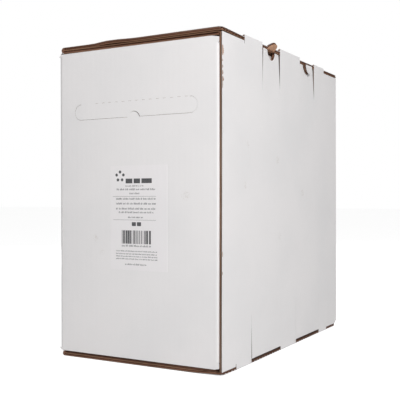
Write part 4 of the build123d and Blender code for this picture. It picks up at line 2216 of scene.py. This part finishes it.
@dataclass
class Studio:
    """The camera, the lights and the floor."""

    lens: float = 65.79
    sensor: float = 36.0
    eye: Vector = field(default_factory=lambda: Vector((512.94, -931.4, 204.78)))
    yaw: float = -29.788
    pitch: float = -0.183
    roll: float = 0.143
    room_light: float = 0.36
    table_glow: float = 0.68
    key_place: Colour = (1.14, -1.17, 1.06)
    key_aim: Colour = (0.05, -0.1, 0.25)
    key_size: float = 0.5
    key_power: float = 23.0
    fill_place: Colour = (-1.3, 1.4, 0.9)
    fill_power: float = 12.0
    floor_half: float = 12000.0
    floor_drop: float = 0.15

    def camera(self) -> None:
        """Sets up the camera."""
        data = bpy.data.cameras.new("studio_camera")
        data.lens = self.lens
        data.sensor_width = self.sensor
        data.clip_end = 60.0
        camera = bpy.data.objects.new("studio_camera", data)
        yaw, pitch = math.radians(self.yaw), math.radians(self.pitch)
        ahead = Vector((math.sin(yaw) * math.cos(pitch), math.cos(yaw) * math.cos(pitch), math.sin(pitch)))
        roll = Matrix.Rotation(math.radians(-self.roll), 3, "Z").to_quaternion()
        camera.location = self.eye * MM
        camera.rotation_mode = "QUATERNION"
        camera.rotation_quaternion = ahead.to_track_quat("-Z", "Y") @ roll
        bpy.context.scene.collection.objects.link(camera)
        bpy.context.scene.camera = camera

    def lamp(self, name: str, place: Colour, aim: Colour, size: float, power: float) -> None:
        """Adds a large soft lamp.

        Args:
            name: Its name.
            place: Where it stands, in metres.
            aim: What it points at.
            size: Side of its square face.
            power: Its power in watts.
        """
        data = bpy.data.lights.new(name, "AREA")
        data.size = size
        data.energy = power
        lamp = bpy.data.objects.new(name, data)
        lamp.location = place
        lamp.rotation_mode = "QUATERNION"
        lamp.rotation_quaternion = (Vector(aim) - Vector(place)).to_track_quat("-Z", "Y")
        bpy.context.scene.collection.objects.link(lamp)

    def light(self) -> None:
        """Lights the studio: an even room, which is white where it is looked at, and two soft lamps."""
        scene = bpy.context.scene
        world = bpy.data.worlds.new("pale_room")
        world.use_nodes = True
        tree = world.node_tree
        room = tree.nodes["Background"]
        room.inputs["Color"].default_value = (1.0, 1.0, 1.0, 1.0)
        seen = tree.nodes.new("ShaderNodeMapRange")
        tree.links.new(tree.nodes.new("ShaderNodeLightPath").outputs["Is Camera Ray"], seen.inputs["Value"])
        seen.inputs["To Min"].default_value = self.room_light
        tree.links.new(seen.outputs["Result"], room.inputs["Strength"])
        scene.world = world
        scene.view_settings.view_transform = "Standard"
        self.lamp("key_lamp", self.key_place, self.key_aim, self.key_size, self.key_power)
        self.lamp("fill_lamp", self.fill_place, self.key_aim, self.key_size * 2.0, self.fill_power)

    def floor(self) -> None:
        """Lays the pale floor."""
        bm = bmesh.new()
        bmesh.ops.create_grid(bm, x_segments=8, y_segments=8, size=self.floor_half)
        bmesh.ops.translate(bm, verts=bm.verts[:], vec=(0.0, 0.0, -self.floor_drop))
        bmesh.ops.scale(bm, vec=(MM, MM, MM), verts=bm.verts[:])
        mesh = bpy.data.meshes.new("studio_floor")
        bm.to_mesh(mesh)
        bm.free()
        mesh.materials.append(FloorFinish("lit_table", Slot.WHITE, glow=self.table_glow).material())
        floor = bpy.data.objects.new("studio_floor", mesh)
        bpy.context.scene.collection.objects.link(floor)


def main() -> None:
    """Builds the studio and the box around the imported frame."""
    logging.basicConfig(level=logging.INFO, format="%(name)s: %(message)s")
    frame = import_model()
    studio = Studio()
    studio.camera()
    plan = CartonPlan()
    plan.read_joints(frame["joints"])
    for assembly in (FixedWalls(plan), MovingPanels(plan), LockFlaps(plan), Label(), Reel(plan)):
        LOG.info("building %s", type(assembly).__name__)
        assembly.make()
    studio.light()
    studio.floor()


if __name__ == "__main__":
    main()
